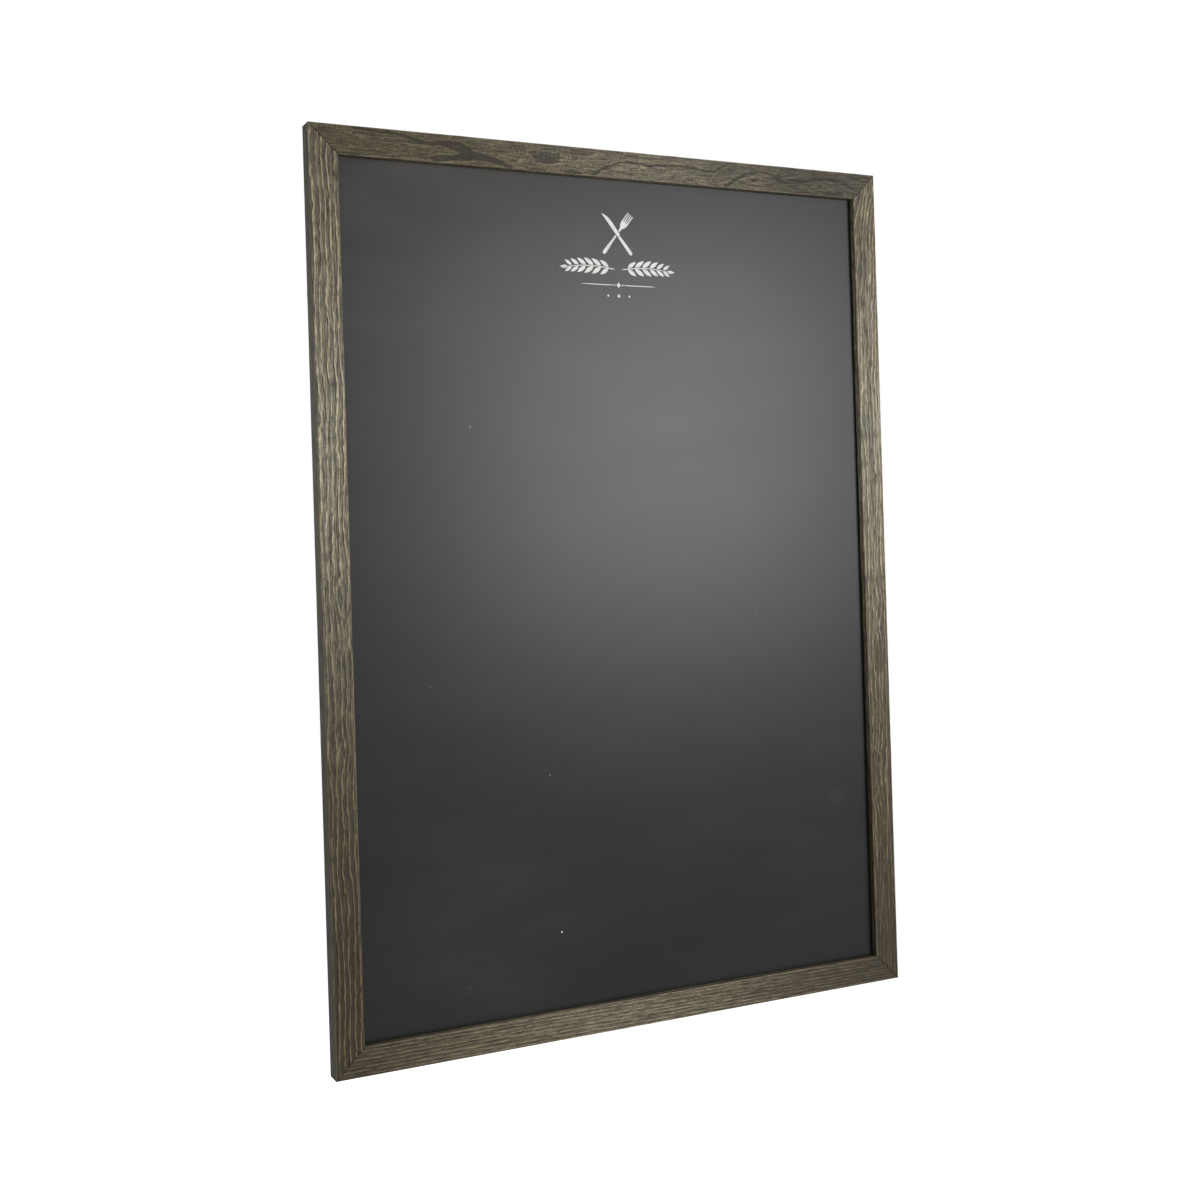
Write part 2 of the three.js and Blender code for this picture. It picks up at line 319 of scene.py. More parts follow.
# Each member is its own stick of timber. Lengths in the grain settings are in mm.
# pith: how far the tree's centre lies from the outer edge, and behind the face; ring: growth ring width;
# lean: drift of the grain across the face for each mm along; taper: rings for each mm along;
# veer: where the grain turns off, over what length and how far; sways: its drifts and their wavelengths;
# figure: ring noise, its length and width; knots: along, across, lift in rings, half length and half width;
# strokes: dark wandering lines and blots, each a darkness, how pale its rim is, and its points (along,
# across, half width); a half width of -1.2 leaves the rim alone, as a pale vein;
# stain and shade: the place where the wood is palest, how far that reaches, and its depth there and at the
# ends; deeper stain towards the ends, and painted light: palest where the lamp falls brightest, darker as
# painted shade where it falls off;
# quiet: the place where the pale lines are faintest, how far that reaches, and how much they lose there
members = {
    "top_rail": {
        "turn": 180, "edge": (0, 1), "steps": (16, 20), "seed": 11.3,
        "pith": (6, 38), "ring": 3.4, "lean": 0.004, "taper": 0.0085, "veer": (317, 60, 0),
        "sways": ((1.5, 160), (0.5, 40)), "figure": (1.1, 46, 13), "ripple": 0.2,
        "knots": [(168, 18, 1.2, 15, 7), (243, 18, -1.3, 16, 7), (-78, 10, 0.8, 24, 9)],
        "strokes": [
            (1.0, 0.1, [
                (-274, 2, 1.1), (-242, 3.6, 1.4), (-222, 5.6, 1.6), (-207, 9.8, 1.8), (-197, 10.4, 1.9),
                (-186, 8.8, 2.2), (-178, 9.5, 3.6), (-167, 12.5, 5.2), (-157, 17.5, 4.4), (-142, 19.5, 3.2),
                (-127, 22.5, 2.8), (-115, 26.5, 1.4),
            ]),
            (1.0, 0.3, [
                (-197, 24.5, 2.2), (-186, 23, 3.4), (-176, 22.5, 2.4), (-166, 21, 3.4), (-158, 20, 3.4),
            ]),
            (0.9, 0.1, [(-287, 26.6, 0.8), (-272, 26.2, 1.6), (-258, 26.6, 0.9)]),
            (0.9, 0.1, [(-97, 26.6, 0.7), (-88, 26.2, 1.4), (-79, 26.6, 0.7)]),
            (0.85, 0.3, [
                (-96, 9.2, 1.0), (-91, 11.4, 3.4), (-87, 13.4, 5.4), (-80, 13.6, 5.8), (-71, 13.7, 5.8),
                (-66.5, 12.6, 4.6),
            ]),
            (0.3, 0.0, [
                (-132, 3, 3.4), (-98, 4, 4.2), (-62, 5, 5.4), (-36, 4.5, 4.6), (-30, 2.5, 3.4), (5, 2, 3),
            ]),
            (0.75, 0.1, [(-60, 6, 1.3), (-47, 6.4, 1.1), (-34, 7, 1.3), (-24, 3, 1.2)]),
            (1.0, 0.1, [(-57, 26, 1.4), (-48, 25.2, 2.4), (-40, 26.5, 1.4)]),
            (1.0, 0.12, [
                (-26, 26.5, 2.2), (-17, 20.5, 1.9), (-9, 17, 1.4), (0, 13, 1.1), (10, 10.8, 1.1),
                (25, 11.2, 1.1), (35, 12.4, 1.1), (50, 10.8, 1.0), (75, 9.9, 1.2), (92, 10.8, 1.2),
                (107, 12.6, 1.3), (115, 12, 1.0), (120, 7.5, 0.8), (130, 3.3, 0.7), (141, 1, 0.5),
            ]),
            (0.7, 0.1, [
                (0, 2.5, 0.6), (15, 3.9, 0.8), (32, 5.3, 0.8), (50, 4.2, 0.8), (65, 2.5, 0.6),
                (82, 1.3, 0.5),
            ]),
            (1.0, 0.15, [
                (127, 26.5, 2.2), (137, 20, 1.9), (147, 14.6, 1.1), (155, 10.6, 0.9), (170, 7.8, 0.9),
                (184, 9.6, 1.2), (190, 14, 2.0), (200, 16, 2.3), (212, 14.6, 2.8), (225, 13.2, 2.6),
                (240, 10.4, 1.9), (255, 8.8, 1.5), (270, 10.2, 1.7), (282, 14, 1.6), (291, 19, 1.0),
            ]),
            (0.6, 0.3, [
                (152, 24, 0.6), (162, 22.5, 0.8), (174, 23.5, 0.8), (184, 20.5, 1.2), (188, 17, 1.4),
            ]),
            (0.9, 0.2, [(236, 27, 1.5), (245, 23, 1.2), (262, 25, 2.4), (273, 24, 2.6)]),
            (0.4, 0.0, [(196, 3, 2.5), (230, 4, 4.5), (262, 4, 5), (290, 8, 8), (306, 8, 8)]),
            (0.32, 0.0, [(176, 20, 4), (196, 17, 10), (230, 14, 14), (310, 14, 16)]),
        ],
        "lineStrength": 0.2, "bandStrength": 0.2, "mottle": 0.4, "strands": 0.3, "dashes": 0.3,
        "brown": (1.0, 0.0), "sawn": 1.0, "stainAndShade": (5, 140, 0.3, 0.66), "quiet": (0, 1, 0.0),
    },
    "bottom_rail": {
        "turn": 0, "edge": (0, -1), "steps": (16, 20), "seed": 47.9,
        "pith": (-70, 40), "ring": 3.1, "lean": 0.009, "taper": 0.0, "veer": (317, 60, 0),
        "sways": ((0.9, 260), (0.25, 60)), "figure": (0.3, 150, 10), "ripple": 0.08,
        "knots": [],
        "strokes": [
            (0.22, 0.0, [(92, 16, 3), (130, 15, 9), (190, 14, 13), (310, 14, 16)]),
            (0.38, 0.0, [(218, 12, 4), (246, 12, 9), (270, 14, 14), (310, 14, 16)]),
        ],
        "lineStrength": 0.7, "bandStrength": 1.0, "mottle": 0.6, "strands": 0.5, "dashes": 0.4,
        "brown": (0.3, 0.3), "sawn": 0.5, "stainAndShade": (-25, 215, 0.36, 0.92), "quiet": (0, 1, 0.0),
    },
    "left_stile": {
        "turn": 90, "edge": (-1, 0), "steps": (20, 22), "seed": 83.1,
        "pith": (-45, 22), "ring": 5.2, "lean": -0.004, "taper": 0.0012, "veer": (440, 60, 0),
        "sways": ((2.2, 140), (1.1, 42)), "figure": (0.62, 55, 13), "ripple": 0.2,
        "knots": [(2, 15, 0.9, 15, 6), (-138, 17, -0.6, 12, 6)],
        "strokes": [
            (0.8, 0.1, [(-141, 17, 1.2), (-136, 19, 1.4)]),
            (0.8, 0.1, [(-216, 16, 1.0), (-211, 15, 1.2)]),
            (0.26, 0.0, [(-430, 14, 16), (-330, 14, 14), (-275, 16, 9), (-236, 18, 3)]),
        ],
        "lineStrength": 1.0, "bandStrength": 0.95, "mottle": 0.85, "strands": 0.35, "dashes": 0.45,
        "brown": (0.6, 0.0), "sawn": 0.3, "stainAndShade": (160, 252, 0.0, 0.87), "quiet": (-90, 220, 0.5),
    },
    "right_stile": {
        "turn": -90, "edge": (1, 0), "steps": (20, 22), "seed": 129.7,
        "pith": (75, 50), "ring": 3.4, "lean": 0.004, "taper": 0.001, "veer": (440, 62, 22),
        "sways": ((2.4, 130), (0.9, 40)), "figure": (0.85, 55, 10), "ripple": 0.2,
        "knots": [(-53, 12, 0.9, 14, 6), (-213, 17, 1.4, 32, 9)],
        "strokes": [
            (0.45, 0.0, [(60, 15, 1.6), (110, 15, 2.8), (190, 14, 3.0), (250, 15, 2.2), (300, 19, 2.4)]),
            (0.4, 0.0, [(298, 21, 3), (345, 18, 5.5), (390, 21, 4)]),
            (0.0, 0.75, [(355, 22, -1.2), (374, 19, -1.2), (392, 14, -1.2), (424, 10, -1.2)]),
            (0.0, 0.6, [(372, 25, -1.2), (392, 21, -1.2), (408, 15, -1.2), (426, 13, -1.2)]),
            (0.45, 0.0, [(-101, 11, 4), (-86, 11, 5.5), (-72, 11, 4)]),
            (0.0, 0.35, [(-122, 8, -1.0), (-112, 15, -1.0), (-95, 23, -1.2)]),
            (0.0, 0.45, [(-150, 8, -1.0), (-138, 14, -1.0), (-122, 25, -1.2)]),
            (0.3, 0.0, [(-232, 20, 5), (-212, 21, 7), (-194, 22, 5)]),
            (0.0, 0.75, [
                (-305, 23.5, -1.2), (-280, 25, -1.2), (-258, 23, -1.2), (-243, 25.5, -1.2),
                (-232, 18, -1.2), (-222, 14.5, -1.2), (-204, 13, -1.2), (-192, 16, -1.2),
                (-187, 21, -1.2), (-184, 27, -1.2),
            ]),
            (0.0, 0.75, [
                (-385, 22, -1.2), (-352, 18, -1.2), (-331, 16.5, -1.2), (-312, 11, -1.2), (-286, 8.5, -1.2),
                (-262, 8, -1.2), (-240, 7, -1.2),
            ]),
            (0.3, 0.0, [(-430, 14, 15), (-390, 14, 14), (-340, 15, 10), (-300, 16, 4)]),
            (0.42, 0.0, [(-430, 14, 16), (-395, 14, 12), (-372, 16, 5)]),
        ],
        "lineStrength": 1.0, "bandStrength": 0.85, "mottle": 0.55, "strands": 0.55, "dashes": 0.4,
        "brown": (0.7, 0.0), "sawn": 0.2, "stainAndShade": (165, 233, 0.0, 0.84), "quiet": (-400, 330, 0.5),
    },
}


def alongX(direction):
    return abs(direction.x) > 0.99


def squareLength(length, steps):
    # A square-ended length of the moulding's outer block, gridded all over, outer edge on z = 0
    face, depth = moulding["face"], moulding["depth"]
    bpy.ops.object.select_all(action="DESELECT")
    bpy.ops.mesh.primitive_cube_add(size=1, location=(0, frontY + depth / 2, face / 2))
    stick = bpy.context.object
    stick.scale = (length, depth, face)
    applyPlace(stick)
    near = 0.01 * mm
    editMode(stick, "EDGE")
    selectEdges(stick, lambda middle, way: alongX(way) and middle.y < frontY + near)
    bpy.ops.mesh.bevel(offset=moulding["arris"], segments=moulding["arrisSteps"], affect="EDGES")
    for count in steps:
        selectEdges(stick, lambda middle, way: alongX(way))
        bpy.ops.mesh.subdivide(number_cuts=count - 1)
    selectEdges(stick, lambda middle, way: abs(way.z) > 0.99 and middle.y < frontY + near)
    bpy.ops.mesh.subdivide(number_cuts=moulding["faceCuts"])
    selectEdges(stick, lambda middle, way: abs(way.y) > 0.99 and middle.y > frontY + moulding["arris"])
    bpy.ops.mesh.subdivide(number_cuts=moulding["sideCuts"])
    selectEdges(stick, lambda middle, way: abs(way.z) > 0.99 and middle.y > backY - near)
    bpy.ops.mesh.subdivide(number_cuts=moulding["sideCuts"])
    inset = length / 2 - moulding["mitreGap"] / math.sqrt(2)
    for end in (-1, 1):
        bpy.ops.mesh.select_all(action="SELECT")
        bpy.ops.mesh.bisect(
            plane_co=(end * inset, 0, 0), plane_no=(end, 0, 1), use_fill=True, clear_outer=True
        )
    objectMode()
    return stick


def grownCopy(node, openBehind):
    # The slot that a let-in piece sits in: its own shape, grown by the clearance
    cutter = copyNode(node, node + "_slot")
    before = cutter.dimensions.x
    editAll(cutter, "VERT")
    bpy.ops.transform.shrink_fatten(value=moulding["letIn"], use_even_offset=True)
    if openBehind:
        selectVertices(cutter, lambda co: co.y > backY - moulding["letIn"])
        bpy.ops.transform.translate(value=(0, moulding["spare"], 0))
    objectMode()
    bpy.context.view_layer.update()
    if cutter.dimensions.x < before:
        print("slot shrank:", node)
    return cutter


def cutWith(piece, cutters):
    for cutter in cutters:
        applyModifier(piece, "BOOLEAN", operation="DIFFERENCE", solver="MANIFOLD", object=cutter)
        bpy.data.objects.remove(cutter)


def rebateCutter(length):
    face, land, spare = moulding["face"], moulding["backLand"], moulding["spare"]
    bpy.ops.object.select_all(action="DESELECT")
    bpy.ops.mesh.primitive_cube_add(size=1)
    block = bpy.context.object
    block.scale = (length + spare, backY - lipY + spare, face - land + spare)
    block.location = (0, (backY + spare + lipY) / 2, (face + spare + land) / 2)
    applyPlace(block)
    return block


def pilotHole(node):
    low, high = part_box(node)
    middle = (low + high) / 2
    startY, endY = low.y - moulding["letIn"], backY + moulding["spare"]
    bpy.ops.object.select_all(action="DESELECT")
    bpy.ops.mesh.primitive_cylinder_add(
        vertices=32, radius=moulding["pilot"] + moulding["letIn"], depth=endY - startY,
        location=(middle.x, (startY + endY) / 2, middle.z), rotation=(math.radians(90), 0, 0),
    )
    hole = bpy.context.object
    applyPlace(hole)
    return hole


# How the grain is drawn, in mm unless a note says otherwise
grain = {
    "knotBend": 0.75,  # share by which the fibres bend round a knot
    "knotSpread": 0.6,
    "strokeReach": 9,
    "strokeJitter": 0.7,
    "strokeWander": 2,
    "strokeSoft": 0.9,
    "rimOut": 1.2,
    "rimWide": 0.6,
    "stainAndShadeWander": 16,
    "lateWood": (0.06, 0.14),  # where in a growth ring the late wood stands, and its width, in rings
    "lateWander": 0.06,
    "softShare": 0.62,  # share of the brushing that follows the rings; the rest follows the fibres
    "wallShare": 0.5,  # how deep the walls are brushed beside the face
    "wornShare": 0.7,
    # the worn arrises also carry a painted highlight
    "worn": (1.6, 2),  # how far the wear reaches across and behind, in arrises
    "faceEnds": 1.2,  # how far behind the face still counts as face, in arrises
    "near": 0.05,
    "figureDepth": 40,
    # Noise: length and width of a cell, and a shift
    "ripple": (9, 3.5, 50),
    "jitter": (5, 1.6, 90),
    "wander": (9, 3, 70),
    "stainAndShadeEdge": (45, 12, 31),
    "rub": (23, 9, 7),
    "lateEdge": (14, 1.2, 0),
    "fibre": (18, 0.9, 3),
}


def cellNoise(member, kind, along, across):
    long, wide, shift = grain[kind]
    return noise.noise(Vector((along / long, across / wide, member["seed"] + shift)))


def grainPlace(member, co):
    # (along, across from the outer edge, behind the face), in mm
    sideX, sideZ = member["edge"]
    if sideX:
        return co.z / mm, (boardHigh.x - abs(co.x)) / mm, (co.y - frontY) / mm
    return co.x / mm, (boardHigh.z - abs(co.z)) / mm, (co.y - frontY) / mm


def drifted(member, along, across):
    # Across the stick once the grain's lean, its turn and its sways are taken out
    for by, long in member["sways"]:
        across += by * noise.noise(Vector((along / long, member["seed"] + long, 0)))
    end, over, by = member["veer"]
    return across + member["lean"] * along + by * math.exp(-abs(along - end) / over)


def grainFlow(member, along, across):
    # The line of grain that a point lies on: it also bends round the knots
    flow = drifted(member, along, across)
    for knotAlong, knotAcross, _, halfLong, halfWide in member["knots"]:
        away = ((along - knotAlong) / halfLong) ** 2 + ((across - knotAcross) / halfWide) ** 2
        flow -= grain["knotBend"] * (across - knotAcross) * math.exp(-grain["knotSpread"] * away)
    return flow


def ringCount(member, along, across, behind):
    # How many growth rings lie between the pith and a point
    figure, figureLong, figureWide = member["figure"]
    pithAcross, pithBehind = member["pith"]
    rings = math.hypot(drifted(member, along, across) - pithAcross, behind + pithBehind) / member["ring"]
    rings += member["taper"] * along
    depth = member["seed"] + behind / grain["figureDepth"]
    rings += figure * noise.noise(Vector((along / figureLong, across / figureWide, depth)))
    rings += member["ripple"] * cellNoise(member, "ripple", along, across)
    for knotAlong, knotAcross, lift, halfLong, halfWide in member["knots"]:
        away = ((along - knotAlong) / halfLong) ** 2 + ((across - knotAcross) / halfWide) ** 2
        rings += lift * math.exp(-away)
    return rings


def strokeShade(member, along, across):
    # How dark the strokes make a point, and how pale the rims just outside them
    jitter = grain["strokeJitter"] * cellNoise(member, "jitter", along, across)
    along += grain["strokeWander"] * cellNoise(member, "wander", along, across)
    reach = grain["strokeReach"]
    dark, rim = 0.0, 0.0
    for darkness, paleness, points in member["strokes"]:
        for (startAlong, startAcross, startHalf), (endAlong, endAcross, endHalf) in zip(points, points[1:]):
            if along < startAlong - reach or along > endAlong + reach:
                continue
            byAlong, byAcross = endAlong - startAlong, endAcross - startAcross
            part = (along - startAlong) * byAlong + (across - startAcross) * byAcross
            part = min(max(part / (byAlong**2 + byAcross**2), 0.0), 1.0)
            away = math.hypot(along - startAlong - part * byAlong, across - startAcross - part * byAcross)
            beyond = away - startHalf - part * (endHalf - startHalf) + jitter
            dark = max(dark, darkness * min(max(0.5 - beyond / grain["strokeSoft"], 0.0), 1.0))
            rim = max(rim, paleness * math.exp(-(((beyond - grain["rimOut"]) / grain["rimWide"]) ** 2)))
    return dark, rim * (1 - dark)


def stainAndShadeDepth(member, along, across):
    # The wood is palest at one place along the stick and darker towards the ends: deeper stain there, and
    # painted shade, a pool of light painted palest where the lamp falls brightest
    palest, reach, least, most = member["stainAndShade"]
    along += grain["stainAndShadeWander"] * cellNoise(member, "stainAndShadeEdge", along, across)
    return most - (most - least) * math.exp(-(((along - palest) / reach) ** 2))


def paintGrain(stick, member):
    # Writes the grain onto the mesh: ring count, flow of the fibres, dark strokes and their pale rims,
    # depth of stain with painted shade, worn arrises with a painted highlight, plain sides (coloured
    # darker, partly as painted shade) and brushed hollows
    mesh = stick.data
    hollows = stick.vertex_groups.new(name="hollows")
    painted = {"rings": [], "flow": [], "stroke": [], "rim": [], "stainAndShade": [], "wearAndHighlight": [], "plain": []}
    arris = moulding["arris"] / mm
    face = moulding["face"] / mm
    lip = moulding["lip"] / mm
    near = grain["near"]
    latePhase, lateWide = grain["lateWood"]
    wornAcross, wornBehind = (share * arris for share in grain["worn"])
    for vertex in mesh.vertices:
        along, across, behind = grainPlace(member, vertex.co)
        count = ringCount(member, along, across, behind)
        flow = grainFlow(member, along, across)
        edge = max(0.0, 1 - min(across, face - across) / wornAcross) * max(0.0, 1 - behind / wornBehind)
        rub = 0.5 + 0.5 * cellNoise(member, "rub", along, across)
        painted["rings"].append(count)
        painted["flow"].extend((along, flow, behind))
        dark, rim = strokeShade(member, along, across)
        painted["stroke"].append(dark)
        painted["rim"].append(rim)
        # depth of stain, and painted shade away from where the light falls brightest
        painted["stainAndShade"].append(stainAndShadeDepth(member, along, across))
        # worn arrises: wear, and a painted highlight along the front arrises
        painted["wearAndHighlight"].append(edge * rub)
        onFace = behind < arris * grain["faceEnds"]
        onWall = across > face - near and behind < lip
        # plain: the sides and back, which the material colours darker, partly as painted shade of the side
        # faces
        painted["plain"].append(0.0 if onFace or onWall else 1.0)
        onSide = across < near or onWall
        if not (onFace or onSide):
            continue
        phase = (count + grain["lateWander"] * cellNoise(member, "lateEdge", along, across)) % 1
        soft = 1 - max(0.0, 1 - abs(phase - latePhase) / lateWide)  # the hard late wood stands proud
        fibre = 0.5 + 0.5 * cellNoise(member, "fibre", along, flow)
        weight = grain["softShare"] * soft + (1 - grain["softShare"]) * fibre
        weight *= 1.0 if onFace else grain["wallShare"]
        weight += grain["wornShare"] * edge * rub
        hollows.add([vertex.index], min(weight, 1.0), "REPLACE")
    for layer, values in painted.items():
        vector = layer == "flow"
        attribute = mesh.attributes.new(layer, "FLOAT_VECTOR" if vector else "FLOAT", "POINT")
        attribute.data.foreach_set("vector" if vector else "value", values)


timber = {}
for name, member in members.items():
    low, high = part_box(name)
    length = max(high.x - low.x, high.z - low.z) + moulding["mitreGap"] * math.sqrt(2)
    stick = squareLength(length, member["steps"])
    cutWith(stick, [rebateCutter(length)])
    sideX, sideZ = member["edge"]
    stick.rotation_euler.y = math.radians(member["turn"])
    stick.location = (sideX * boardHigh.x, 0, sideZ * boardHigh.z)
    applyPlace(stick)
    letIn = [grownCopy(node, False) for node in cadNodes if node.startswith(name + "_clip")]
    corner = {"top_rail": ("top_",), "bottom_rail": ("bottom_",)}.get(name) or tuple(
        end + name.split("_")[0] + "_" for end in ("top_", "bottom_")
    )
    letIn += [grownCopy(node, True) for node in cadNodes if "_v_nail_" in node and node.startswith(corner)]
    letIn += [pilotHole(node) for node in cadNodes if node == name.split("_")[0] + "_hanger_screw"]
    cutWith(stick, [joinPieces(letIn, name + "_slots")])
    stick.name = stick.data.name = name + "_timber"
    paintGrain(stick, member)
    applyModifier(
        stick, "DISPLACE", direction="NORMAL", mid_level=0, strength=-moulding["brushed"],
        vertex_group="hollows",
    )
    pickOnly(stick)
    bpy.ops.object.shade_smooth_by_angle(angle=math.radians(40))
    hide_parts(name)
    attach(stick, "board")
    timber[name] = stick
    print("cut and brushed", name, len(stick.data.polygons), "faces")

# Softwood, brushed with wire and stained grey-brown under a dull wax: the hard late wood stands proud
# and is rubbed back to pale tan lines, and the soft early wood holds the stain and reads dark and matt.
timberLook = {
    "rubbed": "#ddd0b0",
    "ochre": "#d8c486",
    "tan": "#bbb098",
    "middle": "#9b917b",
    "grey": "#8a8677",
    "dark": "#3a3a34",
    "brown": "#8a744c",
    "blot": "#2e2f29",
    "pore": "#2b2a25",
    # deep stain, also laid on as painted shade where the light falls off
    "deep": "#1d1404",
    # plain sides and back: unbrushed stain, darker partly as painted shade of the side faces
    "side": "#534e44",
    "roughness": (0.5, 0.72),
    "gloss": 0.24,
    "sideGloss": 0.12,
    # Noise drawn out along the grain: length and width of a cell in mm, detail, roughness and a shift
    "streaks": {
        "clouds": (60, 9, 2, 0.5, 40),
        "mottle": (15, 2.4, 2, 0.55, 30),
        "strands": (90, 1.9, 2, 0.55, 20),
        "dashes": (24, 1.3, 2, 0.55, 10),
        "fibres": (16, 0.7, 2, 0.6, 0),
        "pores": (7, 0.5, 1, 0.5, 60),
        "saw": (1.2, 4, 1, 0.5, 80),
    },
}


def timberCoats(member):
    # The coats of colour in the order that they lie on the wood, each with its masks. A mask is a pattern,
    # two of its values, and what the mask is at each of them.
    return [
        # The stained ground, greyer or browner from cloud to cloud and from one end to the other
        ("middle", [("clouds", 0.42, 0.58, 0, 1)]),
        ("brown", [("along", -330, 100, *member["brown"]), ("strands", 0.35, 0.65, 1, 0.4)]),
        ("dark", [("mottle", 0.54, 0.42, 0, 0.8 * member["mottle"])]),
        # Growth rings: each starts as a sharp pale line and ends in a dark band
        ("dark", [("phase", 0.5, 0.9, 0, member["bandStrength"]), ("clouds", 0.38, 0.58, 0.35, 1)]),
        ("pale", [("line", 0, 1, 0, member["lineStrength"])]),
        # Rubbed strands and short dashes over it, then the dark stain left in fibres and pores
        ("tan", [("strands", 0.5, 0.6, 0, 0.8 * member["strands"])]),
        ("pale", [("dashes", 0.53, 0.63, 0, 0.9 * member["dashes"])]),
        ("dark", [("fibres", 0.5, 0.38, 0, 0.85)]),
        ("pore", [("pores", 0.58, 0.7, 0, 0.8)]),
        ("pore", [("saw", 0.48, 0.62, 0, 0.6 * member["sawn"])]),
        # The strokes with their rims; the plain sides and back, darker partly as painted shade; the deep
        # stain, partly painted shade where the light falls off; and the worn arrises, partly a painted
        # highlight
        ("pale", [("rim", 0, 1, 0, 0.6)]),
        ("blot", [("stroke", 0, 1, 0, 1), ("fibres", 0.4, 0.6, 0.95, 0.75)]),
        ("side", [("plain", 0, 1, 0, 0.8)]),
        ("deep", [
            ("stainAndShade", 0, 1, 0, 1), ("rim", 0, 1, 1, 0.65),
            ("line", 0, 1, 1, 1 - 0.3 * member["lineStrength"]),
        ]),
        # worn arrises, paler: wear, and a painted highlight along the front arrises
        ("tan", [("wearAndHighlight", 0, 1, 0, 1), ("dashes", 0.4, 0.55, 0.15, 0.8)]),
    ]


def stainedTimber(name, member):
    look = timberLook
    material, tree = newMaterial(name)
    flow = addNode(tree, "ShaderNodeAttribute", attribute_name="flow").outputs["Vector"]
    patterns = {"along": addNode(tree, "ShaderNodeSeparateXYZ", {0: flow}).outputs[0]}
    for layer in ("rings", "stroke", "rim", "stainAndShade", "wearAndHighlight", "plain"):
        patterns[layer] = addNode(tree, "ShaderNodeAttribute", attribute_name=layer).outputs["Fac"]
    for kind, (long, wide, detail, rough, shift) in look["streaks"].items():
        stretched = addNode(tree, "ShaderNodeMapping", {
            "Vector": flow,
            "Scale": (1 / long, 1 / wide, 1 / wide),
            "Location": (member["seed"] + shift, shift, 0),
        })
        patterns[kind] = addNode(tree, "ShaderNodeTexNoise", {
            "Vector": stretched.outputs[0], "Scale": 1.0, "Detail": detail, "Roughness": rough,
        }).outputs["Fac"]

    def masked(masks):
        # The product of the masks, in one socket
        product = None
        for pattern, first, second, atFirst, atSecond in masks:
            mask = addNode(tree, "ShaderNodeMapRange", {
                "Value": patterns[pattern], "From Min": first, "From Max": second,
                "To Min": atFirst, "To Max": atSecond,
            }).outputs[0]
            if product is None:
                product = mask
            else:
                both = addNode(tree, "ShaderNodeMath", {0: product, 1: mask}, operation="MULTIPLY")
                product = both.outputs[0]
        return product

    # How far a point lies from the place where the lines are faintest
    quietAt, reach, loss = member["quiet"]
    away = addNode(tree, "ShaderNodeMath", {0: patterns["along"], 1: quietAt}, operation="SUBTRACT")
    farness = addNode(tree, "ShaderNodeMath", {0: away.outputs[0]}, operation="ABSOLUTE")
    patterns["farness"] = farness.outputs[0]

    # The rings wobble a little with the dashes
    wobble = masked([("dashes", 0.3, 0.7, -0.05, 0.05)])
    turned = addNode(tree, "ShaderNodeMath", {0: patterns["rings"], 1: wobble}, operation="ADD").outputs[0]
    patterns["phase"] = addNode(tree, "ShaderNodeMath", {0: turned}, operation="FRACT").outputs[0]
    patterns["line"] = masked([
        ("phase", 0.12, 0.3, 1, 0), ("strands", 0.38, 0.5, 0.45, 1), ("farness", 0, reach, 1 - loss, 1),
    ])

    # The pale lines turn ochre where the stain and painted shade lie deep
    colours = {kind: linearColour(code) for kind, code in look.items() if str(code).startswith("#")}
    colours["pale"] = addNode(tree, "ShaderNodeMix", data_type="RGBA", inputs={
        0: masked([("stainAndShade", 0, 1, 0, 0.9)]), 6: colours["rubbed"], 7: colours["ochre"],
    }).outputs[2]

    colour = colours["grey"]
    for coat, masks in timberCoats(member):
        colour = addNode(tree, "ShaderNodeMix", data_type="RGBA", inputs={
            0: masked(masks), 6: colour, 7: colours[coat],
        }).outputs[2]

    proud = addNode(tree, "ShaderNodeMath", operation="ADD", inputs={
        0: patterns["fibres"], 1: patterns["dashes"],
    })
    height = addNode(tree, "ShaderNodeMath", operation="SUBTRACT", inputs={
        0: proud.outputs[0], 1: patterns["pores"],
    })
    bump = addNode(tree, "ShaderNodeBump", {
        "Height": height.outputs[0], "Strength": 0.6, "Distance": 0.25 * mm,
    })
    surface = addNode(tree, "ShaderNodeBsdfPrincipled", {
        "Base Color": colour, "Normal": bump.outputs[0],
        "Roughness": masked([("fibres", 0.35, 0.65, *reversed(look["roughness"]))]),
        "Specular IOR Level": masked([("plain", 0, 1, look["gloss"], look["sideGloss"])]),
    })
    addNode(tree, "ShaderNodeOutputMaterial", {"Surface": surface.outputs[0]})
    return material


for name, member in members.items():
    giveMaterial(timber[name], stainedTimber("brushed_stained_" + name, member))
print("timber finished")

# High-pressure laminate with a matt black face for chalk pens: smooth, with a broad soft sheen, a faint
# haze of wiped chalk and a few smudges. Two broad patches of the haze also lift the top left and lower left
# of the panel, partly as painted light.
sheetLook = {
    "black": "#101010",
    "haze": "#3d3b38",
    "roughness": (0.33, 0.35),
    "ior": 1.305,
    # x, z and radius in mm, and how much haze is left there; the last two are broad patches that are partly
    # painted light
    "smudgesAndLightPatches": [(226, 107, 14, 0.3), (-18, -153, 10, 0.3), (246, -234, 16, 0.3), (-40, 350, 22, 0.3),
                (-250, 380, 300, 1.0), (-170, -330, 170, 0.45)],
}
sheetFinish, tree = newMaterial("matt_black_laminate")
coords = addNode(tree, "ShaderNodeTexCoord").outputs["Object"]
wipes = addNode(tree, "ShaderNodeMapping", {
    "Vector": coords, "Rotation": (0, math.radians(24), 0), "Scale": (6, 6, 22),
})
hazeNoise = addNode(tree, "ShaderNodeTexNoise", {
    "Vector": wipes.outputs[0], "Scale": 1.0, "Detail": 5, "Roughness": 0.6,
}).outputs["Fac"]
